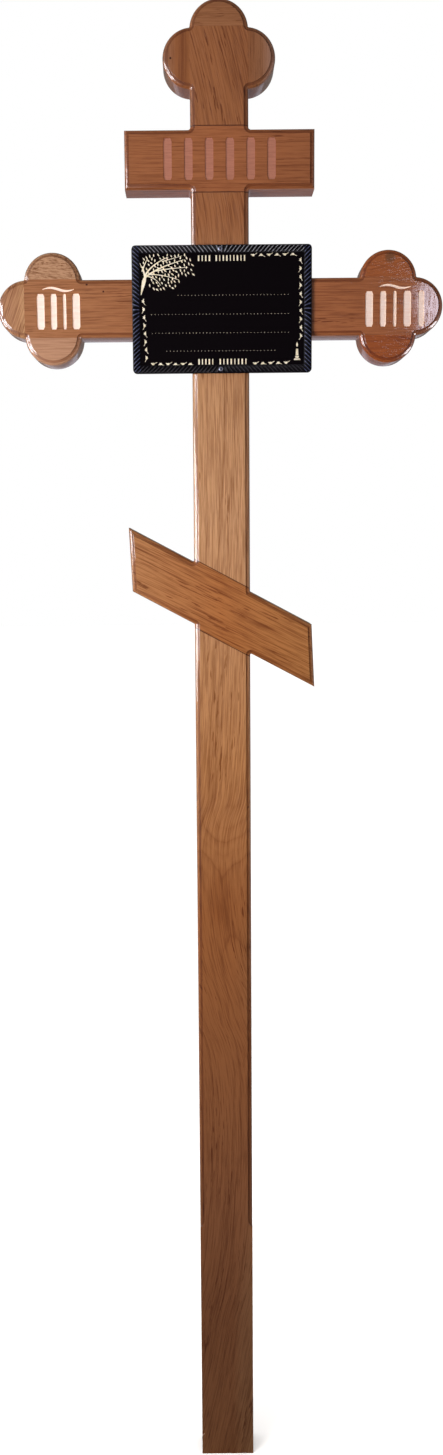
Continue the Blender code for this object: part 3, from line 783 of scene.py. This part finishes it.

# Tones are (metres along the piece's axis, red, green, blue)
# The post's tones carry painted light: brightest from 1.1 to 1.6 m, level with the key light, and darker
# towards the foot, partly as a stain and partly as painted shade
POST_TONES_AND_PAINTED_LIGHT = (
    (0.0, 144, 96, 61), (0.20, 132, 84, 52), (0.42, 146, 94, 60), (0.88, 162, 101, 56), (1.10, 192, 135, 86),
    (1.45, 207, 158, 116), (1.62, 200, 151, 109), (1.87, 160, 102, 62), (2.15, 161, 102, 62),
)
UPPER_TONES = ((-0.13, 162, 101, 62), (0.0, 167, 102, 62), (0.13, 159, 97, 59))
# The main bar is lighter on its left arm: painted light from the left
MAIN_TONES_AND_PAINTED_LIGHT = ((-0.27, 163, 109, 70), (0.0, 167, 105, 65), (0.27, 162, 95, 54))
SLANTING_TONES = ((-0.13, 182, 126, 80), (0.0, 178, 112, 60), (0.13, 182, 123, 71))
TOP_LEFT_TONES = (
    (-0.080, 160, 115, 90), (-0.058, 157, 98, 58), (-0.050, 134, 77, 41), (-0.040, 157, 98, 56),
)
TOP_RIGHT_TONES = ((0.040, 144, 90, 54), (0.058, 150, 101, 69), (0.078, 171, 133, 117))
LEFT_END_TONES = ((-0.31, 182, 133, 100), (-0.284, 178, 130, 93), (-0.274, 192, 146, 105))
WOOD_LOOKS = {
    "post": dict(
        tones=POST_TONES_AND_PAINTED_LIGHT, seed=3, sway=POST_SWAY, heart=POST_HEART, pith=(-0.003, 0.045), drift=0.012,
        contrast=1.1, seams=POST_SEAMS, patches=POST_PATCHES_AND_PAINTED_SHEEN, spots=[POST_SPOT],
    ),
    "upper_crossbar": dict(tones=UPPER_TONES, axis="X", turn=LEVEL, seed=5, contrast=0.7, streaks=0.9),
    "main_crossbar": dict(
        tones=MAIN_TONES_AND_PAINTED_LIGHT, axis="X", turn=LEVEL, seed=8, contrast=0.7,
        spots=[((-0.186, FRONT, 1.779), 0.0022, KNOT), ((-0.163, FRONT, 1.769), 0.0018, KNOT)],
    ),
    "slanting_crossbar": dict(
        tones=SLANTING_TONES, axis="X", turn=leaning(SLANTING, -4), seed=12, contrast=1.2, streaks=1.3,
        drift=0.06,
    ),
    "top_lobe_upper": dict(tones=[(2.0, 162, 108, 71)], turn=LEVEL, seed=14, contrast=0.15, streaks=0.6),
    "top_lobe_left": dict(
        tones=TOP_LEFT_TONES, axis="X", seed=17, contrast=0.6,
        spots=[((-0.066, FRONT, 2.075), 0.0020, KNOT)],
    ),
    "top_lobe_right": dict(tones=TOP_RIGHT_TONES, axis="X", seed=19, contrast=0.5, streaks=0.8),
    "left_lobe_end": dict(
        tones=LEFT_END_TONES, axis="X", turn=leaning(UPRIGHT, 20), seed=23, contrast=0.9, streaks=1.2,
    ),
    "left_lobe_upper": dict(
        tones=[(1.0, 182, 140, 108)], turn=leaning(LEVEL, 6), seed=27, contrast=0.2, streaks=1.5, short=5.0,
    ),
    "left_lobe_lower": dict(tones=[(1.0, 185, 140, 111)], turn=LEVEL, seed=29, contrast=0.2, streaks=0.6),
    "right_lobe_end": dict(tones=[(1.0, 153, 91, 55)], seed=31, contrast=0.5),
    "right_lobe_upper": dict(
        tones=[(1.0, 162, 89, 42)], turn=leaning(LEVEL, -8), seed=37, contrast=0.4, spots=[RIGHT_SPOT],
    ),
    "right_lobe_lower": dict(tones=[(1.0, 163, 84, 32)], turn=LEVEL, seed=41, contrast=0.3, streaks=0.8),
}


def wood_materials():
    """One material for each piece, with its own grain, tone and blemishes."""
    return {name: varnished_wood(f"oak_{name}", **look) for name, look in WOOD_LOOKS.items()}


def carved_material(name, colour, deep, roughness, coat):
    """The cut wood of a stroke: pale raw fibres, or the same under varnish."""
    cut = Shader(name, Roughness=roughness, Coat_Weight=coat, Coat_Roughness=0.08)
    grain = cut.noise(cut.scaled(cut.place, (60.0, 400.0, 700.0)), 3.0).outputs["Fac"]
    colour = cut.mix(cut.between(grain, 0.3, 0.75, 0.0, 0.6), rgb(*colour), rgb(*deep))
    return cut.finish(Base_Color=colour, Normal=cut.bump(grain, 0.0001, 0.5))


def make_wood():
    """The post, the bars and the half-round blocks, each cut from its blank and moulded as one."""
    looks = wood_materials()
    envelope = make_envelope()
    pale_floor = carved_material("carved_floor", (252, 232, 224), (240, 206, 190), 0.6, 0.0)
    pale_wall = carved_material("carved_wall", (255, 240, 205), (226, 184, 138), 0.6, 0.0)
    dim_floor = carved_material("varnished_floor", (186, 122, 100), (160, 98, 76), 0.4, 0.8)
    dim_wall = carved_material("varnished_wall", (176, 116, 84), (140, 84, 56), 0.4, 0.8)
    y_low, y_high = FRONT - OVERSIZE, BACK + OVERSIZE
    made, helpers = {}, [envelope]

    def from_blank(name, outline):
        piece = prism(name, outline, y_low, y_high, looks[name])
        boolean(piece, envelope, "INTERSECT")
        made[name] = piece
        return piece

    wide, top = POST_SIDE + OVERSIZE, SQUARED_HEIGHT
    neck = top - POST_WIDTH - CUSP_MARGIN - JOINT_GAP
    post = from_blank("post", [
        (-wide, -OVERSIZE), (wide, -OVERSIZE), (wide, neck), (POST_SIDE, neck),
        (POST_SIDE, top), (-POST_SIDE, top), (-POST_SIDE, neck), (-wide, neck),
    ])
    for name, (_, middle, width, slope) in BARS.items():
        low, high = band(middle, (width + 2 * (SHOULDER + JOINT_GAP)) * math.hypot(1, slope))
        helpers.append(seat_cutter(f"{name}_seat", low, high, slope))
        boolean(post, helpers[-1], "DIFFERENCE")
    for name, height in SCREW_HEIGHTS.items():
        pilot = rod(f"{name}_pilot", SCREW_SHANK_RADIUS + JOINT_GAP, (y_low, FRONT + SCREW_LENGTH), height)
        helpers.append(pilot)
        boolean(post, pilot, "DIFFERENCE")

    for name, sizes in BARS.items():
        outline = blocked_blank(*sizes[:3]) if name == "main_crossbar" else bar_blank(*sizes)
        bar = from_blank(name, outline)
        heights = [z for _, z in outline]
        seat = rectangle(-POST_SIDE, POST_SIDE, min(heights) - OVERSIZE, max(heights) + OVERSIZE)
        housing = prism(f"{name}_housing", seat, BACK - HOUSING_DEPTH, BACK + 2 * OVERSIZE)
        boolean(bar, housing, "DIFFERENCE")
        helpers.append(housing)

    out = LOBE_RISE + OVERSIZE
    low, high = band(MAIN_BAR_HEIGHT, BAR_WIDTH)
    end, root = MAIN_BAR_REACH, MAIN_BAR_REACH - BAR_WIDTH - CUSP_MARGIN
    top_heights = (top - POST_WIDTH - CUSP_MARGIN, top + CUSP_MARGIN)
    end_heights = (low - CUSP_MARGIN, high + CUSP_MARGIN)
    boxes = {"top_lobe_upper": (-POST_SIDE, POST_SIDE, top + GLUE_GAP, top + out)}
    for side, word in ((-1, "left"), (1, "right")):
        boxes[f"top_lobe_{word}"] = (side * (POST_SIDE + GLUE_GAP), side * (POST_SIDE + out), *top_heights)
        boxes[f"{word}_lobe_end"] = (side * (end + GLUE_GAP), side * (end + out), *end_heights)
        boxes[f"{word}_lobe_upper"] = (side * root, side * end, high + GLUE_GAP, high + out)
        boxes[f"{word}_lobe_lower"] = (side * root, side * end, low - out, low - GLUE_GAP)
    for name, box in boxes.items():
        from_blank(name, rectangle(*box))

    for names, shapes, wall, floor in (
        (["upper_crossbar"], upper_strokes(), dim_wall, dim_floor),
        (["main_crossbar"], arm_strokes(*LEFT_ROW), pale_wall, pale_floor),
        (["main_crossbar", "right_lobe_end"], arm_strokes(*RIGHT_ROW), pale_wall, pale_floor),
        (["post"], [NICK], pale_wall, dim_floor),
    ):
        helpers += carve([made[name] for name in names], shapes, wall, floor)
    for piece in made.values():
        settle(piece)
        shade_smooth(piece)
    discard(helpers)
    for name, piece in made.items():
        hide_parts(name)
        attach(piece, "root")
    return made


def rope_stations():
    """(point, outward way, slant, ridge share) along the rope's middle line, several a strand.

    The strands slant one way up to the middle of each side and the other way after it. The slant
    fades out at the middle, and grows to the corner's mitre so that rings offset from the line close.
    """
    width, height = (PLATE_WIDTH - ROPE_WIDTH) / 2, (PLATE_HEIGHT - ROPE_WIDTH) / 2
    mitre = ROPE_WIDTH / 2
    stations = []
    sides = ((1, width, height), (1j, height, width))
    for out, reach, run in sides + tuple((-out, reach, run) for out, reach, run in sides):
        along = out * 1j
        steps = round(run / ROPE_PITCH) * STRAND_STEPS
        stations.append((out * reach - along * run, out - along, 0, 1.0))
        for i in range(1, 2 * steps):
            t = i / steps - 1
            lean = ROPE_SLANT + (mitre - ROPE_SLANT) * abs(t)
            lean *= math.copysign(min(1.0, abs(t) * run / ROPE_WIDTH), t)
            ridge = abs(math.cos(math.pi * i / STRAND_STEPS)) ** RIDGE_ROUNDNESS
            stations.append((out * reach + along * run * t, out, along * lean, ridge))
    return stations


def inside_plate(x, z):
    """Moves a point that lies beyond the plate's rounded corner onto it."""
    core_x, core_z = PLATE_WIDTH / 2 - PLATE_CORNER, PLATE_HEIGHT / 2 - PLATE_CORNER
    over_x, over_z = abs(x) - core_x, abs(z) - core_z
    if over_x <= 0 or over_z <= 0:
        return x, z
    length = math.hypot(over_x, over_z)
    if length <= PLATE_CORNER:
        return x, z
    scale = PLATE_CORNER / length
    return math.copysign(core_x + over_x * scale, x), math.copysign(core_z + over_z * scale, z)


def ribbon(points, widths):
    """The outline of a strip that follows points, as wide at each as told."""
    middle = [complex(*point) for point in points]
    left, right = [], []
    for before, place, after, width in zip(middle[:1] + middle, middle, middle[1:] + middle[-1:], widths):
        aside = (after - before) / abs(after - before) * 1j * width / 2
        left.append(pair(place + aside))
        right.append(pair(place - aside))
    return right + left[::-1]


def curve_points(start, pull, end, steps):
    """Points of the curve from start to end that bends towards pull."""
    start, pull, end = complex(*start), complex(*pull), complex(*end)
    shares = [i / steps for i in range(steps + 1)]
    return [pair((1 - t) ** 2 * start + 2 * t * (1 - t) * pull + t**2 * end) for t in shares]


def leaf(x, z, angle, length, width):
    """A pointed leaf that grows from (x, z) at an angle."""
    shape = [(0, 0), (0.30, -0.42), (0.62, -0.40), (1.0, 0), (0.62, 0.40), (0.30, 0.42)]
    turn = cmath.rect(1, angle)
    return [pair(complex(x, z) + turn * complex(a * length, b * width)) for a, b in shape]


# Places on the nameplate are in millimetres from the plate's lower left corner
MILLIMETRES = 1000
TREE_TRUNK = ((12.6, 106.5), (15.6, 120.0), (18.6, 131.0), (14.8, 144.5))
TRUNK_WIDTHS = (0.8, 3.6, 5.4, 1.6)
TREE_BRANCHES = (
    ((17.8, 131.0), (26.0, 147.0), (51.0, 157.0), 2.6),
    ((17.5, 129.0), (34.0, 143.0), (72.0, 153.0), 2.6),
    ((14.6, 138.0), (18.0, 148.0), (22.5, 155.5), 2.0),
    ((34.0, 138.5), (52.0, 142.0), (78.0, 143.0), 1.6),
    ((24.0, 134.0), (44.0, 134.0), (66.0, 126.0), 1.5),
    ((22.0, 131.5), (34.0, 129.0), (40.0, 119.0), 1.4),
    ((13.8, 143.0), (12.8, 147.0), (11.6, 149.0), 1.2),
    ((42.0, 151.0), (58.0, 155.0), (70.0, 158.5), 1.2),
)
CANOPY = (
    (12.5, 146.5), (16.5, 155.0), (29.0, 160.0), (52.0, 160.5), (78.0, 160.0), (84.0, 151.0), (88.5, 132.5),
    (85.0, 133.0), (82.0, 138.0), (74.0, 130.0), (68.0, 135.0), (66.0, 124.0), (63.0, 122.0), (61.0, 113.0),
    (54.0, 113.0), (50.0, 120.0), (44.0, 114.0), (38.0, 111.5), (28.0, 112.0), (24.0, 120.0),
    (25.5, 131.0), (20.0, 141.0),
)
CANOPY_WIDTH = (12.0, 89.0)
CANOPY_HEIGHT = (111.0, 161.0)
HANGING_BELOW = 151.0
BRANCH_STEPS = 12
TWIG_GAP = 1.9
LEAF_SEED = 7
LEAF_SPACING = 4.3
LEAF_TRIES = 5000
LEAF_LENGTHS = (3.8, 5.2)
LEAF_WIDTHS = (1.7, 2.2)
LEAF_LEAN = 0.55
DOT_ROWS = ((64.0, 217.0, 105.5), (27.0, 217.5, 80.0), (27.5, 217.5, 54.7), (47.5, 198.5, 30.3))
DOT_PITCH = 4.8
DOT_RADIUS = 0.36
DOT_SIDES = 8
GARLANDS = (
    ((163.0, 158.5), (229.0, 159.5), 6),
    ((234.0, 157.5), (235.0, 44.0), 10),
    ((15.0, 103.5), (19.5, 16.0), 8),
    ((23.0, 13.0), (85.5, 12.5), 6),
    ((165.5, 12.5), (219.5, 13.5), 5),
)
LEAF_HEAD = (
    (-3.5, 1.2), (-2.2, 1.6), (-1.2, 0.9), (0.2, 1.7), (1.3, 1.0), (3.4, 1.5),
    (1.7, -0.5), (1.0, -1.9), (-0.4, -1.2), (-1.3, -1.8), (-1.6, -0.4),
)
HEAD_STEM = ((3.2, 1.2), (5.4, 2.6))
STEM_WIDTHS = (0.7, 0.5)
CANDLE_FOOT = (229.5, 17.0)
CANDLE_TAPERS = ((0.0, 2.0, 4.6, 3.8), (2.7, 5.2, 1.8, 2.9), (6.0, 15.2, 1.9, 1.4))
FLAME_HEIGHT = 17.6
FLAME_SIZE = (6.6, 2.9)
ORNAMENT_MARGIN = 0.3
PLATE_STROKE_HEIGHT = 7.6
PLATE_STROKE_WIDTHS = (2.0, 1.3, 1.7)
PLATE_STROKE_ROWS = (
    (90.5, 110.5, 155.0, 4), (115.0, 159.0, 155.0, 9),
    (90.0, 114.0, 15.5, 5), (119.5, 160.5, 15.5, 8),
)


def inside(point, polygon):
    x, z = point
    found = False
    for (x0, z0), (x1, z1) in zip(polygon, polygon[1:] + polygon[:1]):
        if (z0 > z) != (z1 > z) and x < x0 + (z - z0) / (z1 - z0) * (x1 - x0):
            found = not found
    return found


def tree_shapes(rng):
    """A leafy bough in the upper left corner: a trunk, branches and scattered hanging leaves."""
    trunk = curve_points(*TREE_TRUNK[:3], 8) + [TREE_TRUNK[3]]
    steps = len(trunk) - 1
    widths = []
    for i in range(len(trunk)):
        place = i / steps * (len(TRUNK_WIDTHS) - 1)
        low = min(int(place), len(TRUNK_WIDTHS) - 2)
        widths.append(TRUNK_WIDTHS[low] + (TRUNK_WIDTHS[low + 1] - TRUNK_WIDTHS[low]) * (place - low))
    shapes = [ribbon(trunk, widths)]
    taken = []
    for start, pull, end, width in TREE_BRANCHES:
        points = curve_points(start, pull, end, BRANCH_STEPS)
        shapes.append(ribbon(points, [width * (1 - 0.75 * i / BRANCH_STEPS) for i in range(len(points))]))
        taken += [(point, TWIG_GAP) for point in points]
    for _ in range(LEAF_TRIES):
        place = (rng.uniform(*CANOPY_WIDTH), rng.uniform(*CANOPY_HEIGHT))
        if not inside(place, CANOPY):
            continue
        if any(math.dist(place, other) < gap for other, gap in taken):
            continue
        taken.append((place, LEAF_SPACING))
        angle = math.radians(-62 if place[1] < HANGING_BELOW else 105) + rng.uniform(-LEAF_LEAN, LEAF_LEAN)
        length = rng.uniform(*LEAF_LENGTHS)
        x = place[0] - math.cos(angle) * length / 2
        z = place[1] - math.sin(angle) * length / 2
        shapes.append(leaf(x, z, angle, length, rng.uniform(*LEAF_WIDTHS)))
    return shapes


def garland_shapes():
    """Rows of notched leaf heads on short stems, turned to one side and the other by turns."""
    shapes = []
    for start, end, count in GARLANDS:
        start, row = complex(*start), complex(*end) - complex(*start)
        ahead, step = row / abs(row), abs(row) / count
        for i in range(count):
            side = -1 if i % 2 else 1
            head, stem = (
                [pair(start + ahead * complex(a + step * (i + 0.5), b * side)) for a, b in part]
                for part in (LEAF_HEAD, HEAD_STEM)
            )
            shapes += [head, ribbon(stem, STEM_WIDTHS)]
    return shapes


def candle_shapes():
    """A lit candle on a round foot, in the lower right corner."""
    x, z = CANDLE_FOOT
    tapers = [
        [(x - low, z + start), (x + low, z + start), (x + high, z + end), (x - high, z + end)]
        for start, end, low, high in CANDLE_TAPERS
    ]
    return tapers + [leaf(x, z + FLAME_HEIGHT, math.pi / 2, *FLAME_SIZE)]


def plate_stroke_shapes():
    """Rows of short upright strokes in groups, where the plate's words would be."""
    shapes = []
    for x0, x1, z, count in PLATE_STROKE_ROWS:
        low, high = band(z, PLATE_STROKE_HEIGHT)
        for i in range(count):
            width = PLATE_STROKE_WIDTHS[i % len(PLATE_STROKE_WIDTHS)]
            left, right = band(x0 + (x1 - x0) * (i + 0.5) / count, width)
            shapes.append(rectangle(left, right, low, high))
    return shapes


def dot_shapes():
    """Rows of dots to write on."""
    shapes = []
    corners = [cmath.rect(DOT_RADIUS, turn) for turn in turns(DOT_SIDES, 2 * math.pi)[:-1]]
    for x0, x1, z in DOT_ROWS:
        count = round((x1 - x0) / DOT_PITCH)
        for i in range(count + 1):
            middle = complex(x0 + (x1 - x0) * i / count, z)
            shapes.append([pair(middle + corner) for corner in corners])
    return shapes


def area_of(outline):
    return sum(a[0] * b[1] - b[0] * a[1] for a, b in zip(outline, outline[1:] + outline[:1])) / 2


def add_field(shape, rim, ornament):
    """Fills the rim with a flat field in which the ornament's outlines stand up."""
    places = [Vector((vert.co.x, vert.co.z)) for vert in rim]
    faces = [list(range(len(rim)))]
    if area_of([tuple(place) for place in places]) < 0:
        faces[0].reverse()
    for outline in ornament:
        if area_of(outline) < 0:
            outline = outline[::-1]
        start = len(places)
        places += [Vector(point) for point in outline]
        faces.append(list(range(start, start + len(outline))))
    found, _, triangles, sources, _, owners = delaunay_2d_cdt(places, [], faces, 1, 1e-7)
    verts = []
    for place, source in zip(found, sources):
        on_rim = [i for i in source if i < len(rim)]
        verts.append(rim[on_rim[0]] if on_rim else shape.verts.new((place.x, PLATE_FIELD, place.y)))
    raised = []
    for triangle, owner in zip(triangles, owners):
        if 0 not in owner:
            continue
        face = shape.faces.new([verts[i] for i in triangle])
        if any(owner):
            raised.append(face)
    tops = set(push(shape, raised, (0, -RELIEF_RISE, 0)))
    bmesh.ops.delete(shape, geom=raised, context="FACES_ONLY")
    for face in tops:
        face.material_index = 1
        for edge in face.edges:
            for other in edge.link_faces:
                if other not in tops and abs(other.normal.y) < 0.5:
                    other.material_index = 1


def plate_material():
    """Matt black with a fine tooth."""
    black = Shader("plate_black", Roughness=0.55, Specular_IOR_Level=0.0)
    speck = black.stretched(1400.0, 1400.0)
    colour = black.mix(speck, rgb(8, 6, 8), rgb(18, 15, 19))
    return black.finish(Base_Color=colour, Normal=black.bump(speck, 0.0001, 0.3))


def rope_material(name, top, bottom, sides, roughness):
    """Black enamel on the rope edge with a painted highlight on its crests: brightest on its top run, dimmer
    on its bottom run, and bluer on its upright runs.
    """
    rope = Shader(name, Roughness=roughness, Specular_IOR_Level=0.08)
    across = rope.sum("ABSOLUTE", rope.sum("SUBTRACT", rope.axis("X"), PLATE_SHIFT))
    upright = rope.between(across, *band(PLATE_WIDTH / 2 - ROPE_WIDTH, 0.002))
    crest_highlight = rope.between(rope.axis("Y"), PLATE_FIELD - 0.0009, PLATE_FIELD - 0.0021)
    speck = rope.between(rope.stretched(420.0, 420.0), 0.35, 0.65, 0.45, 1.0)
    raised = rope.between(rope.axis("Z"), *band(PLATE_MIDDLE, 0.04))
    colour = rope.mix(upright, rope.mix(raised, rgb(*bottom), rgb(*top)), rgb(*sides))
    return rope.finish(Base_Color=rope.mix(rope.times(crest_highlight, speck), ROPE_VALLEY, colour))


def relief_material():
    """Cream-gold paint on the raised ornament, a little uneven."""
    gold = Shader("relief_cream", Roughness=0.45)
    patch = gold.stretched(260.0, 260.0, 3.0)
    colour = gold.mix(gold.between(patch, 0.35, 0.7), rgb(250, 244, 226), rgb(232, 222, 190))
    return gold.finish(Base_Color=colour, Normal=gold.bump(patch, 0.0001, 0.3))


def within_field(value, size):
    """Keeps a place on the plate clear of the rope edge. The place and the result are millimetres."""
    edge = ROPE_WIDTH * MILLIMETRES + ORNAMENT_MARGIN
    return min(max(value, edge), size * MILLIMETRES - edge)


def make_nameplate():
    """The plate: a flat field with raised ornament inside a twisted rope edge, with the screws' seats."""
    stations = rope_stations()

    def ring(share, base, lift=0.0):
        points = []
        for place, way, slant, ridge in stations:
            x, z = inside_plate(*pair(place + (way * ROPE_WIDTH / 2 + slant) * share))
            rise = ROPE_RISE - ROPE_GROOVE * (1 - ridge)
            points.append((x + PLATE_SHIFT, base - lift * rise, z + PLATE_MIDDLE))
        return points

    rings = [ring(1.0, FRONT - JOINT_GAP), ring(1.0, PLATE_FIELD)]
    rings += [ring(math.cos(turn), PLATE_FIELD, math.sin(turn)) for turn in turns(ROPE_ROWS, math.pi)[1:-1]]
    rings.append(ring(-1.0, PLATE_FIELD))

    shape = bmesh.new()
    loops, rows = add_rings(shape, rings)
    # Faces near each strand's ridge take the material with the painted highlight; the others take the black
    # of the grooves
    ridges = [station[3] for station in stations]
    for row in rows[1:]:
        for face, one, other in zip(row, ridges, ridges[1:] + ridges[:1]):
            face.material_index = 2 if one + other > 2 * RIDGE_HIGHLIGHT_SHARE else 3
    shape.faces.new(loops[0])
    left, low = PLATE_SHIFT - PLATE_WIDTH / 2, PLATE_MIDDLE - PLATE_HEIGHT / 2
    drawn = tree_shapes(random.Random(LEAF_SEED)) + garland_shapes() + candle_shapes()
    ornament = []
    for outline in drawn + plate_stroke_shapes() + dot_shapes():
        kept = [(within_field(x, PLATE_WIDTH), within_field(z, PLATE_HEIGHT)) for x, z in outline]
        ornament.append([(left + x / MILLIMETRES, low + z / MILLIMETRES) for x, z in kept])
    shape.normal_update()
    add_field(shape, loops[-1], ornament)
    ridge = rope_material("rope_ridge_painted_highlight", (150, 152, 164), (60, 57, 66), (84, 90, 124), 0.35)
    groove = rope_material("rope_groove", (4, 4, 6), (3, 3, 4), (3, 4, 9), 0.4)
    plate = new_object("nameplate", shape, plate_material(), relief_material(), ridge, groove)
    helpers = []
    outside = PLATE_FIELD - OVERSIZE
    seat_radius, hole_radius = SCREW_HEAD_RADIUS + JOINT_GAP, SCREW_SHANK_RADIUS + JOINT_GAP
    for name, height in SCREW_HEIGHTS.items():
        helpers.append(rod(f"{name}_seat", seat_radius, (outside, PLATE_FIELD), height))
        helpers.append(rod(f"{name}_hole", hole_radius, (outside, BACK), height))
    for helper in helpers:
        boolean(plate, helper, "DIFFERENCE")
    settle(plate)
    shade_smooth(plate)
    discard(helpers)
    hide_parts("nameplate")
    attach(plate, "root")


def screw_materials():
    """Blued steel, bright on the rim of the head, and a dark, mottled painted shade in its recess."""
    steel = Shader("blued_steel", Metallic=1.0)
    scratch = steel.stretched(900.0, 3000.0)
    dark = Shader("screw_recess_painted_shade", Roughness=0.5)
    shade_mottle = dark.stretched(1500.0, 1500.0)
    return (
        steel.finish(Base_Color=steel.mix(scratch, rgb(226, 230, 246), rgb(150, 156, 190)),
                     Roughness=steel.between(scratch, 0.2, 0.8, 0.22, 0.45)),
        dark.finish(Base_Color=dark.mix(shade_mottle, rgb(14, 13, 22), rgb(44, 46, 70))),
    )


def make_screw(name, height, materials):
    """A slotted screw with a domed rim round a dished middle."""
    end, crown = FRONT + SCREW_LENGTH - JOINT_GAP, HEAD_SEAT - SCREW_HEAD_RIM - SCREW_HEAD_DOME
    dish, rim = SCREW_DISH_RADIUS, SCREW_HEAD_RADIUS - SCREW_DISH_RADIUS
    profile = [(dish * SCREW_DISH_FLOOR, crown + SCREW_DISH_DEPTH), (dish, crown + SCREW_DISH_DEPTH / 3)]
    for turn in turns(DOME_STEPS, math.pi / 2):
        radius = dish + rim * (SCREW_RIM_START + (1 - SCREW_RIM_START) * math.sin(turn))
        profile.append((radius, crown + SCREW_HEAD_DOME * (1 - math.cos(turn))))
    profile += [(SCREW_HEAD_RADIUS, HEAD_SEAT), (SCREW_SHANK_RADIUS, HEAD_SEAT), (SCREW_SHANK_RADIUS, end)]
    round_turns = turns(SCREW_SIDES, 2 * math.pi)[:-1]
    rings = [
        [(radius * math.cos(turn), y, height + radius * math.sin(turn)) for turn in round_turns]
        for radius, y in profile
    ]
    screw = loft(name, rings, *materials)
    reach = SCREW_HEAD_RADIUS + OVERSIZE
    groove = rectangle(-reach, reach, *band(height, SCREW_SLOT_WIDTH))
    slot = prism(f"{name}_slot", groove, crown - OVERSIZE, crown + SCREW_SLOT_DEPTH)
    boolean(screw, slot, "DIFFERENCE")
    settle(screw)
    # The dished middle takes the recess's painted shade
    for face in screw.data.polygons:
        away = math.hypot(face.center.x, face.center.z - height)
        if away < dish and face.center.y < HEAD_SEAT - SCREW_HEAD_RIM / 2:
            face.material_index = 1
    shade_smooth(screw)
    discard([slot])
    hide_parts(name)
    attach(screw, "root")


def light_only(lamp, name, objects):
    """Makes a lamp shine on these objects alone."""
    lit = bpy.data.collections.new(name)
    for obj in objects:
        lit.objects.link(obj)
    lamp.light_linking.receiver_collection = lit


def make_stage():
    """A pale floor under an even pale surround. The light they give off is weaker than they look."""
    bpy.ops.mesh.primitive_plane_add(size=FLOOR_SIZE, location=(0, 0, 0))
    floor = bpy.context.object
    floor.name = "floor"
    pale = Shader("pale_floor", Roughness=0.8, Specular_IOR_Level=0.0)
    bounce = NEAR_BOUNCE
    for low, high, tone in FAR_BOUNCES:
        bounce = pale.mix(pale.between(pale.axis("Y"), low, high), bounce, tone)
    seen = pale.add("ShaderNodeLightPath").outputs["Is Camera Ray"]
    floor.data.materials.append(pale.finish(Base_Color=pale.mix(seen, bounce, FLOOR_SEEN)))

    sun = bpy.data.lights.new("floor_light", "SUN")
    sun.energy = FLOOR_SUN
    sun.angle = FLOOR_SUN_ANGLE
    lamp = bpy.data.objects.new("floor_light", sun)
    bpy.context.scene.collection.objects.link(lamp)
    light_only(lamp, "lit_floor", [floor])

    world = bpy.data.worlds.new("surround")
    bpy.context.scene.world = world
    world.use_nodes = True
    nodes, links = world.node_tree.nodes, world.node_tree.links
    given, seen = nodes["Background"], nodes.new("ShaderNodeBackground")
    given.inputs["Color"].default_value = SURROUND_LIGHT
    given.inputs["Strength"].default_value = SURROUND_STRENGTH
    seen.inputs["Color"].default_value = WHITE
    ray = nodes.new("ShaderNodeLightPath").outputs["Is Camera Ray"]
    both = nodes.new("ShaderNodeMixShader")
    for socket, source in zip(both.inputs, (ray, given.outputs[0], seen.outputs[0])):
        links.new(source, socket)
    links.new(both.outputs[0], nodes["World Output"].inputs["Surface"])


def add_light(name, place, target, size, power, colour=(1.0, 1.0, 1.0)):
    light = bpy.data.lights.new(name, "AREA")
    light.shape = "RECTANGLE"
    light.size, light.size_y = size
    light.energy = power
    light.color = colour
    obj = bpy.data.objects.new(name, light)
    obj.location = place
    obj.rotation_euler = (Vector(target) - Vector(place)).to_track_quat("-Z", "Y").to_euler()
    bpy.context.scene.collection.objects.link(obj)
    return obj


def make_lights():
    key = add_light("key", (-0.95, -1.25, 1.42), (0, 0, 1.38), (0.7, 0.7), 20, (1.0, 0.94, 0.88))
    window = add_light("left_window", (-1.45, -1.5, 1.77), (0, 0, 1.77), (1.2, 1.3), 11)
    for lamp in (key, window):
        lamp.visible_glossy = False
    add_light("right_fill", (1.7, -0.7, 1.3), (0, -0.7, 1.3), (2.0, 2.2), 6, (1.0, 0.93, 0.9))


def make_gleams(wood):
    """Windows that show in the varnish. All but the front one light nothing up.

    The left ones leave a gap between them, so that flat sides seen from behind don't mirror them.
    """
    for middle, width, glow in LEFT_GLEAMS:
        for height, tall in GLEAM_HEIGHTS:
            place, power = (-GLEAM_DISTANCE, middle, height), glow * math.pi * width * tall
            gleam = add_light("left_gleam", place, (0, middle, height), (width, tall), power, GLEAM_COLOUR)
            gleam.visible_diffuse = False
    right = add_light("right_gleam", (1.62, -0.9, 0.95), (0.2, -0.9, 1.70), (2.2, 0.5), 60, GLEAM_COLOUR)
    right.visible_diffuse = False
    front = add_light("right_window", (1.13, -3.93, 2.38), (0, 0, 1.7), (0.46, 0.22), 4.5, (0.86, 0.84, 1.0))
    right_end = [wood[name] for name in RIGHT_END]
    for gleam in (right, front):
        light_only(gleam, "right_end", right_end)


def make_camera():
    data = bpy.data.cameras.new("camera")
    data.sensor_fit = "VERTICAL"
    data.sensor_height = SENSOR_HEIGHT
    data.lens = FOCAL_PIXELS / PHOTO_HEIGHT * SENSOR_HEIGHT
    data.shift_x, data.shift_y = (pixels / PHOTO_HEIGHT for pixels in AXIS_SHIFT_PIXELS)
    camera = bpy.data.objects.new("camera", data)
    bpy.context.scene.collection.objects.link(camera)
    ahead = Vector((0, math.cos(CAMERA_PITCH), -math.sin(CAMERA_PITCH)))
    level_right = Vector((1, 0, 0))
    level_up = level_right.cross(ahead)
    right = level_right * math.cos(CAMERA_ROLL) + level_up * math.sin(CAMERA_ROLL)
    up = right.cross(ahead)
    turn = Matrix((right, up, -ahead)).transposed().to_4x4()
    camera.matrix_world = Matrix.Translation(CAMERA_PLACE) @ turn
    bpy.context.scene.camera = camera


bpy.context.scene.view_settings.view_transform = "Standard"
make_camera()
make_stage()
make_lights()
make_gleams(make_wood())
make_nameplate()
steel = screw_materials()
for screw_name, screw_height in SCREW_HEIGHTS.items():
    make_screw(screw_name, screw_height, steel)
